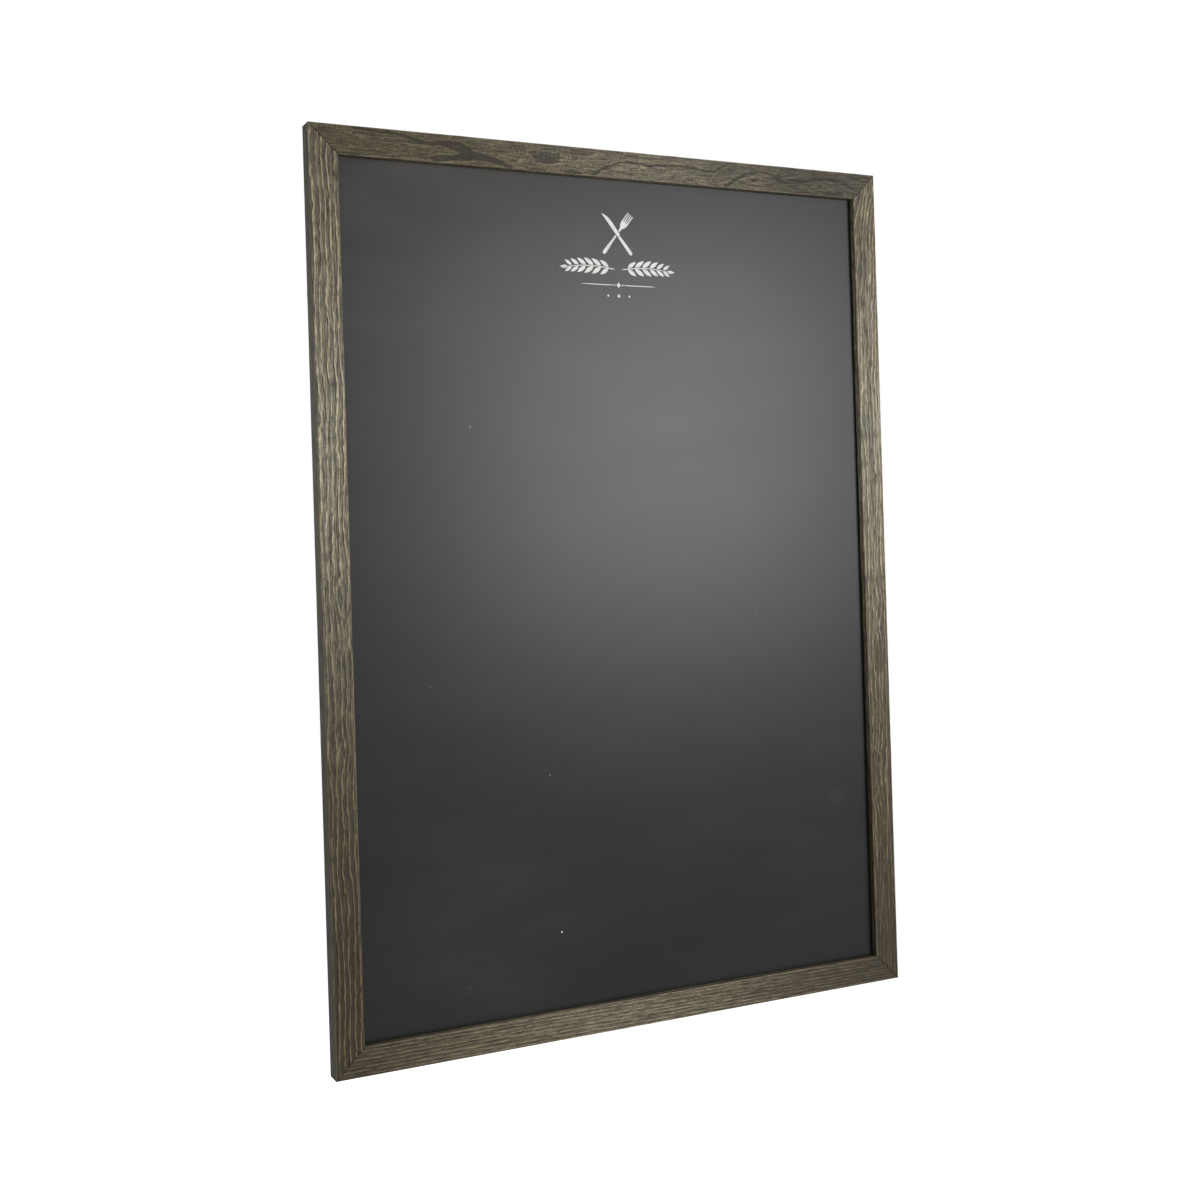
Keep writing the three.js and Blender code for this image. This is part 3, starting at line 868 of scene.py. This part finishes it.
hazeAndLightAmount = addNode(tree, "ShaderNodeMapRange", {
    "Value": hazeNoise, "From Min": 0.42, "From Max": 0.8, "To Min": 0.0, "To Max": 0.12,
}).outputs[0]
grit = addNode(tree, "ShaderNodeTexNoise", {"Vector": coords, "Scale": 700, "Detail": 2}).outputs["Fac"]
for x, z, radius, strength in sheetLook["smudgesAndLightPatches"]:
    away = addNode(tree, "ShaderNodeVectorMath", {0: coords, 1: (x * mm, 0, z * mm)}, operation="DISTANCE")
    # each spot adds haze; the two broad ones also lighten the panel as painted light
    hazeAndLightSpot = addNode(tree, "ShaderNodeMapRange", {
        "Value": away.outputs["Value"], "From Min": 0.0, "From Max": radius * mm,
        "To Min": strength, "To Max": 0.0,
    }, interpolation_type="SMOOTHSTEP")
    patch = addNode(tree, "ShaderNodeMath", {0: hazeAndLightSpot.outputs[0], 1: hazeNoise}, operation="MULTIPLY")
    summed = addNode(tree, "ShaderNodeMath", {0: hazeAndLightAmount, 1: patch.outputs[0]}, operation="ADD")
    hazeAndLightAmount = summed.outputs[0]
face = addNode(tree, "ShaderNodeMix", data_type="RGBA", inputs={
    0: hazeAndLightAmount, 6: linearColour(sheetLook["black"]), 7: linearColour(sheetLook["haze"]),
})
gloss = addNode(tree, "ShaderNodeMapRange", {
    "Value": hazeNoise, "From Min": 0.3, "From Max": 0.7,
    "To Min": sheetLook["roughness"][0], "To Max": sheetLook["roughness"][1],
}).outputs[0]
bump = addNode(tree, "ShaderNodeBump", {"Height": grit, "Strength": 0.25, "Distance": 0.05 * mm})
surface = addNode(tree, "ShaderNodeBsdfPrincipled", {
    "Base Color": face.outputs[2], "Roughness": gloss, "Normal": bump.outputs[0], "IOR": sheetLook["ior"],
})
addNode(tree, "ShaderNodeOutputMaterial", {"Surface": surface.outputs[0]})
giveMaterial(cadNodes["writing_sheet"], sheetFinish)
print("writing sheet finished")

# The printed heading at the top of the panel: a crossed fork and knife over two leafy sprigs and a rule.
# Each shape is a list of (distance along, half width, shift to the side), in mm.
heading = {
    "middle": (2, 335),  # x and z on the board, in mm
    "ink": 0.08 * mm,
    "sunk": 0.02 * mm,
    "cutleryRise": 23,
    "cutleryTurn": 38,
    "gap": 0.7 * mm,
    "handle": [(-26, 0.9, 0), (-25.5, 1.5, 0), (-24, 1.9, 0), (-18, 1.7, 0), (-8, 1.0, 0), (3, 0.85, 0)],
    "forkHead": [(2.9, 0.85, 0), (7, 1.1, 0), (9, 2.2, 0), (10.8, 3.3, 0), (12.5, 3.75, 0), (15, 3.85, 0)],
    "tine": [(14.9, 0.62, 0), (20, 0.55, 0), (25, 0.45, 0), (26, 0.12, 0)],
    "tines": (-3.2, -1.07, 1.07, 3.2),
    "grip": [(-26, 0.9, 0), (-25.5, 1.5, 0), (-24, 1.85, 0), (-14, 1.7, 0), (-3.4, 1.35, 0)],
    "blade": [
        (-2.8, 1.3, 0), (-2.2, 1.75, 0.45), (4, 2.0, 0.7), (12, 2.1, 0.8), (17, 1.95, 0.65),
        (21, 1.45, 0.15), (24, 0.8, -0.5), (26, 0.12, -1.18),
    ],
    "sprigDrop": -13,
    "stem": [
        (4, 0.2, 0), (8, 0.5, 0.5), (16, 0.5, 1.5), (24, 0.48, 2.2), (32, 0.45, 2.5),
        (40, 0.42, 2.3), (48, 0.36, 1.6), (55, 0.3, 0.6), (60, 0.15, -0.3),
    ],
    "leaf": [
        (0, 0.12, 0), (1, 0.85, 0), (2.6, 1.6, 0), (4.6, 2.0, 0), (6.8, 1.85, 0),
        (8.8, 1.2, 0), (10.4, 0.5, 0), (11.2, 0.1, 0),
    ],
    "leafTurn": 34,
    "leafOut": 0.9,
    "leaves": [(11, 1.0), (19.5, 1.08), (28, 1.08), (36.5, 1.0), (44.5, 0.9), (52, 0.78)],  # along, size
    "tipLeaf": (56, 0.4, 93, 0.8),  # along, rise, turn and size
    "stemBow": 2.5,
    "stemLong": 62,
    "rule": [(6, 0.15, 0), (9, 0.4, 0), (34, 0.4, 0), (42, 0.1, 0)],
    "ruleDrop": -29,
    # aside, drop and half size
    "diamonds": [
        (0, -29, 2.6), (-4.6, -29, 1.0), (4.6, -29, 1.0), (0, -40, 1.9), (-12, -40, 1.3), (12, -40, 1.3),
    ],
    "point": 0.06,
    "white": "#e6e6e4",
    "worn": "#9a9a98",
}


def flatShape(name, steps):
    # A flat shape facing -Y: the top edge of a small plane is pulled through the steps
    (first, half, shift), (second, _, _) = steps[:2]
    bpy.ops.object.select_all(action="DESELECT")
    bpy.ops.mesh.primitive_plane_add(size=1, rotation=(math.radians(90), 0, 0))
    shape = bpy.context.object
    shape.scale = (2 * half * mm, (second - first) * mm, 1)
    shape.location = (shift * mm, 0, (first + second) / 2 * mm)
    applyPlace(shape)
    editMode(shape, "EDGE")
    top = second * mm
    selectEdges(shape, lambda middle, way: middle.z > top - 0.001 * mm)
    for i in range(1, len(steps)):
        along, wide, aside = (value * mm for value in steps[i])
        lastAlong, lastWide, lastAside = (value * mm for value in steps[i - 1])
        if i > 1:
            bpy.ops.mesh.extrude_region_move(TRANSFORM_OT_translate={"value": (0, 0, along - lastAlong)})
        bpy.ops.transform.translate(value=(aside - lastAside, 0, 0))
        bpy.ops.transform.resize(value=(wide / lastWide, 1, 1), center_override=(aside, 0, along))
    objectMode()
    shape.name = name
    return shape


def placeShape(shape, turn, place, size=1.0):
    shape.scale = (size, 1, size)
    shape.rotation_euler.y = math.radians(turn)
    shape.location = (place[0] * mm, 0, place[1] * mm)
    applyPlace(shape)
    return shape


def inkThickness(shape):
    # Gives a flat shape its film of ink, from just inside the panel's face out
    shape.location.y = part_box("writing_sheet")[0].y + heading["sunk"]
    applyPlace(shape)
    applyModifier(shape, "SOLIDIFY", thickness=heading["ink"], offset=1)
    faceOutwards(shape)


middleX, middleZ = heading["middle"]
cutlery = (middleX, middleZ + heading["cutleryRise"])
turn = heading["cutleryTurn"]
fork = [placeShape(flatShape("fork", heading[part]), turn, cutlery) for part in ("handle", "forkHead")]
tine = flatShape("tine", heading["tine"])
lean = math.radians(turn)
for aside in heading["tines"]:
    place = (cutlery[0] + aside * math.cos(lean), cutlery[1] - aside * math.sin(lean))
    fork.append(placeShape(copyPiece(tine, "tine"), turn, place))
fork = joinPieces(fork, "printed_fork")
knife = [placeShape(flatShape("knife", heading[part]), -turn, cutlery) for part in ("grip", "blade")]
knife = joinPieces(knife, "knife")
for piece in (fork, knife):
    inkThickness(piece)
gap = copyPiece(knife, "knife_gap")
editAll(gap, "VERT")
bpy.ops.transform.shrink_fatten(value=heading["gap"], use_even_offset=True)
objectMode()
applyModifier(fork, "BOOLEAN", operation="DIFFERENCE", solver="EXACT", use_self=True, object=gap)
bpy.data.objects.remove(gap)

leaf = flatShape("leaf", heading["leaf"])
rule = flatShape("rule", heading["rule"])
tipAlong, tipRise, tipTurn, tipSize = heading["tipLeaf"]
printed = []
for side in (-1, 1):
    base = (middleX, middleZ + heading["sprigDrop"])
    stem = [(along, wide, -side * aside) for along, wide, aside in heading["stem"]]
    printed.append(placeShape(flatShape("stem", stem), side * 90, base))
    for along, size in heading["leaves"]:
        rise = heading["stemBow"] * math.sin(math.pi * along / heading["stemLong"])
        for lean in (-1, 1):
            place = (base[0] + side * along, base[1] + rise + lean * heading["leafOut"])
            leafTurn = side * (90 - lean * heading["leafTurn"])
            printed.append(placeShape(copyPiece(leaf, "leaf"), leafTurn, place, size))
    place = (base[0] + side * tipAlong, base[1] + tipRise)
    printed.append(placeShape(copyPiece(leaf, "leaf"), side * tipTurn, place, tipSize))
    place = (middleX, middleZ + heading["ruleDrop"])
    printed.append(placeShape(copyPiece(rule, "rule"), side * 90, place))
for aside, drop, size in heading["diamonds"]:
    diamond = [(-size, heading["point"], 0), (0, size, 0), (size, heading["point"], 0)]
    printed.append(placeShape(flatShape("diamond", diamond), 0, (middleX + aside, middleZ + drop)))
for pattern in (tine, leaf, rule):
    bpy.data.objects.remove(pattern)
for piece in printed:
    inkThickness(piece)
headingPrint = joinPieces([fork, knife, *printed], "printed_heading")
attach(headingPrint, "board")

# Screen-printed ink: flat, matt and slightly rubbed, with pinholes where the screen's threads lay
inkFinish, tree = newMaterial("white_screen_ink")
coords = addNode(tree, "ShaderNodeTexCoord").outputs["Object"]
screen = addNode(tree, "ShaderNodeTexNoise", {"Vector": coords, "Scale": 1400, "Detail": 1}).outputs["Fac"]
rubbed = addNode(tree, "ShaderNodeTexNoise", {"Vector": coords, "Scale": 160, "Detail": 3}).outputs["Fac"]
both = addNode(tree, "ShaderNodeMath", {0: screen, 1: rubbed}, operation="ADD").outputs[0]
amount = addNode(tree, "ShaderNodeMapRange", {
    "Value": both, "From Min": 1.05, "From Max": 1.3, "To Min": 0.0, "To Max": 0.5,
}).outputs[0]
ink = addNode(tree, "ShaderNodeMix", data_type="RGBA", inputs={
    0: amount, 6: linearColour(heading["white"]), 7: linearColour(heading["worn"]),
})
bump = addNode(tree, "ShaderNodeBump", {"Height": screen, "Strength": 0.3, "Distance": 0.03 * mm})
surface = addNode(tree, "ShaderNodeBsdfPrincipled", {
    "Base Color": ink.outputs[2], "Roughness": 0.6, "IOR": 1.48, "Normal": bump.outputs[0],
})
addNode(tree, "ShaderNodeOutputMaterial", {"Surface": surface.outputs[0]})
giveMaterial(headingPrint, inkFinish)
print("heading printed:", len(headingPrint.data.polygons), "faces")

# Crumbs of chalk that cling to the panel: place on the board and size in mm
chalk = {
    "crumbs": [
        (-163.8, 161.4, 0.72), (-90.5, -181.1, 0.5), (-82.7, -336.7, 1.15), (-212, -86, 0.3),
        (154, -34, 0.3), (-31, 47, 0.3), (-181, -377, 0.3),
    ],
    "flat": 0.35,
    "high": 0.7,
    "turn": 1.3,
    "rough": 0.22,
    "white": "#e8e7e2",
    "shade": "#c9c8c2",
}
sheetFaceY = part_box("writing_sheet")[0].y
crumbs = []
for i, (x, z, size) in enumerate(chalk["crumbs"]):
    bpy.ops.object.select_all(action="DESELECT")
    bpy.ops.mesh.primitive_ico_sphere_add(subdivisions=2, radius=size * mm)
    crumb = bpy.context.object
    editAll(crumb, "VERT")
    bpy.ops.transform.vertex_random(offset=chalk["rough"] * size * mm, seed=i)
    objectMode()
    crumb.scale = (1, chalk["flat"], chalk["high"])
    crumb.rotation_euler.y = chalk["turn"] * i
    crumb.location = (x * mm, sheetFaceY, z * mm)
    applyPlace(crumb)
    crumbs.append(crumb)
chalkCrumbs = joinPieces(crumbs, "chalk_crumbs")
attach(chalkCrumbs, "board")
chalkFinish, tree = newMaterial("loose_white_chalk")
coords = addNode(tree, "ShaderNodeTexCoord").outputs["Object"]
powder = addNode(tree, "ShaderNodeTexNoise", {"Vector": coords, "Scale": 2500, "Detail": 2}).outputs["Fac"]
dusty = addNode(tree, "ShaderNodeValToRGB", {"Fac": powder}, [(0.3, chalk["shade"]), (0.7, chalk["white"])])
bump = addNode(tree, "ShaderNodeBump", {"Height": powder, "Strength": 0.4, "Distance": 0.05 * mm})
surface = addNode(tree, "ShaderNodeBsdfPrincipled", {
    "Base Color": dusty.outputs["Color"], "Roughness": 0.95, "Normal": bump.outputs[0],
})
addNode(tree, "ShaderNodeOutputMaterial", {"Surface": surface.outputs[0]})
giveMaterial(chalkCrumbs, chalkFinish)
print("chalk crumbs placed")


def pulledDisc(name, steps, sides):
    # A round piece on the Y axis: a disc is pulled through the (y, radius) steps, in mm
    first, radius = steps[0]
    bpy.ops.object.select_all(action="DESELECT")
    bpy.ops.mesh.primitive_circle_add(
        vertices=sides, radius=radius * mm, fill_type="NGON", rotation=(math.radians(90), 0, 0)
    )
    disc = bpy.context.object
    disc.location.y = first * mm
    applyPlace(disc)
    editAll(disc, "FACE")
    for (lastY, lastRadius), (y, radius) in zip(steps, steps[1:]):
        bpy.ops.mesh.extrude_region_move(TRANSFORM_OT_translate={"value": (0, (y - lastY) * mm, 0)})
        ratio = radius / lastRadius
        bpy.ops.transform.resize(value=(ratio, 1, ratio), center_override=(0, y * mm, 0))
    objectMode()
    faceOutwards(disc)
    disc.name = disc.data.name = name
    return disc


def smoothShaded(piece, degrees=35):
    pickOnly(piece)
    bpy.ops.object.shade_smooth_by_angle(angle=math.radians(degrees))
    return piece


def standsFor(piece, node):
    body = {"left_hanger_ring": "left_ring", "right_hanger_ring": "right_ring"}.get(node, "board")
    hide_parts(node)
    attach(piece, body)


# Moulded rubber bumpers: a flange, a waist, a rounded face and the dimple of the moulding gate
bumperShape = {
    "steps": [
        (0, 6.2), (0.3, 6.5), (1.1, 6.5), (1.4, 6.25), (1.55, 5.85), (5.0, 5.6), (5.5, 5.42),
        (5.85, 5.1), (6.0, 4.7), (6.0, 2.3), (5.85, 2.05), (5.6, 1.6), (5.5, 0.5),
    ],
    "sides": 64,
}
bumperPattern = smoothShaded(pulledDisc("bumper_pattern", bumperShape["steps"], bumperShape["sides"]))
bumpers = []
for node in [name for name in cadNodes if name.endswith("_bumper")]:
    low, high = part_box(node)
    bumper = copyPiece(bumperPattern, node + "_rubber")
    bumper.location = ((low.x + high.x) / 2, backY, (low.z + high.z) / 2)
    applyPlace(bumper)
    standsFor(bumper, node)
    bumpers.append(bumper)
bpy.data.objects.remove(bumperPattern)
print("bumpers moulded")

# Hanger rings: wire bent to a bar, two round corners, two sides and a half-round bow
ringShape = {
    "wire": 1.2, "wireSides": 16, "half": 7.7, "corner": 2.0, "side": 4.5,
    "cornerSteps": 8, "bowSteps": 32, "tilt": 4.04,
}


def bentRing(name):
    half, corner, side = (ringShape[key] * mm for key in ("half", "corner", "side"))
    bar = half - corner
    bpy.ops.object.select_all(action="DESELECT")
    bpy.ops.mesh.primitive_circle_add(
        vertices=ringShape["wireSides"], radius=ringShape["wire"] * mm, rotation=(0, math.radians(90), 0)
    )
    ring = bpy.context.object
    ring.location.x = -bar
    applyPlace(ring)
    editAll(ring, "VERT")
    for kind, value in (
        ("straight", (2 * bar, 0, 0)),
        ("bend", (90, ringShape["cornerSteps"], (bar, 0, -corner))),
        ("straight", (0, 0, -side)),
        ("bend", (180, ringShape["bowSteps"], (0, 0, -corner - side))),
        ("straight", (0, 0, side)),
        ("bend", (90, ringShape["cornerSteps"], (-bar, 0, -corner))),
    ):
        if kind == "straight":
            bpy.ops.mesh.extrude_region_move(TRANSFORM_OT_translate={"value": value})
        else:
            # the operator turns the other way
            degrees, steps, centre = value
            bpy.ops.mesh.spin(steps=steps, angle=-math.radians(degrees), center=centre, axis=(0, 1, 0))
    objectMode()
    mergeDoubles(ring, 0.01 * mm)
    faceOutwards(ring)
    ring.rotation_euler.x = math.radians(ringShape["tilt"])
    applyPlace(ring)
    ring.name = ring.data.name = name
    return smoothShaded(ring, 60)


# Pan-head screws: a domed head with a tapered cross recess over a plain shank
screwShape = {
    "steps": [
        (-13.0, 0.12), (-9.5, 1.75), (0, 1.75), (0.001, 3.1), (0.12, 3.2), (0.7, 3.2), (1.1, 3.02),
        (1.45, 2.65), (1.72, 2.1), (1.9, 1.45), (2.0, 0.7), (2.0, 0.2),
    ],
    "sides": 48,
    "recess": (3.4, 0.85, 1.3),  # length, width and depth of the cross
    "recessTaper": 0.6,
}


def crossRecess():
    long, wide, deep = (value * mm for value in screwShape["recess"])
    top = screwShape["steps"][-1][0] * mm
    arms = []
    for size in ((long, wide), (wide, long)):
        bpy.ops.object.select_all(action="DESELECT")
        bpy.ops.mesh.primitive_cube_add(size=1)
        arm = bpy.context.object
        arm.scale = (size[0], deep + mm, size[1])
        arm.location.y = top + (mm - deep) / 2
        applyPlace(arm)
        editMode(arm, "FACE")
        selectVertices(arm, lambda co: co.y < top)
        taper = screwShape["recessTaper"]
        bpy.ops.transform.resize(value=(taper, 1, taper), center_override=(0, top - deep, 0))
        objectMode()
        arms.append(arm)
    return arms


strapEdge = {"width": 0.14 * mm, "segments": 2, "limit_method": "ANGLE", "angle_limit": math.radians(50)}
ringPattern = bentRing("ring_pattern")
screwPattern = pulledDisc("screw_pattern", screwShape["steps"], screwShape["sides"])
cutWith(screwPattern, crossRecess())
mergeDoubles(screwPattern, 0.001 * mm)
smoothShaded(screwPattern)
hangerParts = []
for side in ("left", "right"):
    swing = next(joint for joint in frame["joints"] if joint["name"] == side + "_ring_swing")
    ring = copyPiece(ringPattern, side + "_ring_wire")
    ring.location = swing["pos_m"]
    applyPlace(ring)
    standsFor(ring, side + "_hanger_ring")
    low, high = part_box(side + "_hanger_screw")
    screw = copyPiece(screwPattern, side + "_pan_head_screw")
    headHeight = screwShape["steps"][-1][0] * mm
    screw.location = ((low.x + high.x) / 2, high.y - headHeight, (low.z + high.z) / 2)
    applyPlace(screw)
    standsFor(screw, side + "_hanger_screw")
    strap = copyNode(side + "_hanger_strap", side + "_folded_strap")
    applyModifier(strap, "BEVEL", **strapEdge)
    standsFor(smoothShaded(strap), side + "_hanger_strap")
    hangerParts += [ring, screw, strap]
for pattern in (ringPattern, screwPattern):
    bpy.data.objects.remove(pattern)
print("hangers made")

# Wet-formed hardboard, its back marked by the wire screen that it was pressed on: warm brown, fibrous
# and quite matt. The screen's mesh is about 1.4 mm; it is drawn at 2.4 mm, so that it shows.
hardboard = {
    "mesh": 2.4 * mm,
    "brown": "#765639",
    "light": "#937049",
    "dark": "#4a3423",
    "fibre": "#a98a62",
}
hardboardFinish, tree = newMaterial("screen_backed_hardboard")
coords = addNode(tree, "ShaderNodeTexCoord").outputs["Object"]
waveScale = math.tau / 20 / hardboard["mesh"]
wires = []
for way in ("X", "Z"):
    wires.append(addNode(tree, "ShaderNodeTexWave", bands_direction=way, inputs={
        "Vector": coords, "Scale": waveScale, "Distortion": 1.2, "Detail Scale": 3.0,
    }).outputs["Fac"])
screen = addNode(tree, "ShaderNodeMath", {0: wires[0], 1: wires[1]}, operation="MULTIPLY").outputs[0]
felt = addNode(tree, "ShaderNodeTexNoise", {
    "Vector": coords, "Scale": 700, "Detail": 4, "Roughness": 0.7,
}).outputs["Fac"]
blotch = addNode(tree, "ShaderNodeTexNoise", {"Vector": coords, "Scale": 9, "Detail": 3}).outputs["Fac"]
turned = addNode(tree, "ShaderNodeMapping", {
    "Vector": coords, "Rotation": (0, math.radians(35), 0), "Scale": (900, 900, 130),
})
splinters = addNode(tree, "ShaderNodeTexNoise", {
    "Vector": turned.outputs[0], "Scale": 1.0, "Detail": 2,
}).outputs["Fac"]
base = addNode(tree, "ShaderNodeValToRGB", {"Fac": felt}, [
    (0.32, hardboard["dark"]), (0.68, hardboard["light"]), (0.5, hardboard["brown"]),
]).outputs["Color"]
splinterAmount = addNode(tree, "ShaderNodeMapRange", {
    "Value": splinters, "From Min": 0.6, "From Max": 0.72, "To Min": 0.0, "To Max": 0.55,
}).outputs[0]
fibred = addNode(tree, "ShaderNodeMix", data_type="RGBA", inputs={
    0: splinterAmount, 6: base, 7: linearColour(hardboard["fibre"]),
})
shadeAmount = addNode(tree, "ShaderNodeMapRange", {
    "Value": blotch, "From Min": 0.35, "From Max": 0.65, "To Min": 0.25, "To Max": 0.0,
}).outputs[0]
shaded = addNode(tree, "ShaderNodeMix", data_type="RGBA", inputs={
    0: shadeAmount, 6: fibred.outputs[2], 7: linearColour(hardboard["dark"]),
})
height = addNode(tree, "ShaderNodeMath", {0: screen, 1: felt}, operation="ADD").outputs[0]
bump = addNode(tree, "ShaderNodeBump", {"Height": height, "Strength": 0.7, "Distance": 0.3 * mm})
surface = addNode(tree, "ShaderNodeBsdfPrincipled", {
    "Base Color": shaded.outputs[2], "Roughness": 0.88, "Normal": bump.outputs[0],
})
addNode(tree, "ShaderNodeOutputMaterial", {"Surface": surface.outputs[0]})
giveMaterial(cadNodes["backing_board"], hardboardFinish)


def sheetSteel(name, look):
    # Rolled steel: fine streaks along the sheet, a mottled film over them and a soft sheen
    material, tree = newMaterial(name)
    coords = addNode(tree, "ShaderNodeTexCoord").outputs["Object"]
    rolled = addNode(tree, "ShaderNodeMapping", {"Vector": coords, "Scale": look["streaks"]})
    streaks = addNode(tree, "ShaderNodeTexNoise", {
        "Vector": rolled.outputs[0], "Scale": 1.0, "Detail": 3,
    }).outputs["Fac"]
    film = addNode(tree, "ShaderNodeTexNoise", {
        "Vector": coords, "Scale": look["film"], "Detail": 3,
    }).outputs["Fac"]
    colour = addNode(tree, "ShaderNodeValToRGB", {"Fac": film}, [
        (0.3, look["dark"]), (0.72, look["tint"]), (0.5, look["steel"]),
    ]).outputs["Color"]
    rough = addNode(tree, "ShaderNodeMapRange", {
        "Value": streaks, "From Min": 0.3, "From Max": 0.7,
        "To Min": look["roughness"][0], "To Max": look["roughness"][1],
    }).outputs[0]
    bump = addNode(tree, "ShaderNodeBump", {"Height": streaks, "Strength": 0.25, "Distance": 0.04 * mm})
    surface = addNode(tree, "ShaderNodeBsdfPrincipled", {
        "Base Color": colour, "Metallic": 1.0, "Roughness": rough, "Normal": bump.outputs[0],
    })
    addNode(tree, "ShaderNodeOutputMaterial", {"Surface": surface.outputs[0]})
    return material


# Bright zinc plate, clear passivated: silvery, with a faint blue and straw bloom
zincFinish = sheetSteel("clear_passivated_zinc_plate", {
    "streaks": (2600, 2600, 260), "film": 420, "dark": "#8b9096", "steel": "#a5a9ad", "tint": "#aeaa9d",
    "roughness": (0.24, 0.4),
})
# Hardened strip, oil blackened at the mill and rubbed in use: grey with a dull brown cast
springFinish = sheetSteel("rolled_spring_steel", {
    "streaks": (300, 2600, 2600), "film": 260, "dark": "#67686a", "steel": "#86888b", "tint": "#8b857a",
    "roughness": (0.3, 0.48),
})

# Moulded black rubber: dull, with a fine spark-eroded skin and a little dust
rubberLook = {"black": "#1b1b1c", "dust": "#4b4a47"}
rubberFinish, tree = newMaterial("moulded_black_rubber")
coords = addNode(tree, "ShaderNodeTexCoord").outputs["Object"]
skin = addNode(tree, "ShaderNodeTexNoise", {"Vector": coords, "Scale": 3200, "Detail": 2}).outputs["Fac"]
dust = addNode(tree, "ShaderNodeTexNoise", {"Vector": coords, "Scale": 240, "Detail": 4}).outputs["Fac"]
dustAmount = addNode(tree, "ShaderNodeMapRange", {
    "Value": dust, "From Min": 0.5, "From Max": 0.75, "To Min": 0.0, "To Max": 0.5,
}).outputs[0]
dusty = addNode(tree, "ShaderNodeMix", data_type="RGBA", inputs={
    0: dustAmount, 6: linearColour(rubberLook["black"]), 7: linearColour(rubberLook["dust"]),
})
rough = addNode(tree, "ShaderNodeMapRange", {"Value": dust, "To Min": 0.6, "To Max": 0.9}).outputs[0]
bump = addNode(tree, "ShaderNodeBump", {"Height": skin, "Strength": 0.35, "Distance": 0.05 * mm})
surface = addNode(tree, "ShaderNodeBsdfPrincipled", {
    "Base Color": dusty.outputs[2], "Roughness": rough, "Normal": bump.outputs[0], "IOR": 1.5,
})
addNode(tree, "ShaderNodeOutputMaterial", {"Surface": surface.outputs[0]})

for piece in hangerParts:
    giveMaterial(piece, zincFinish)
for piece in bumpers:
    giveMaterial(piece, rubberFinish)
for name, node in cadNodes.items():
    if "_clip_" in name or "_v_nail_" in name:
        giveMaterial(node, springFinish)
print("back finished")
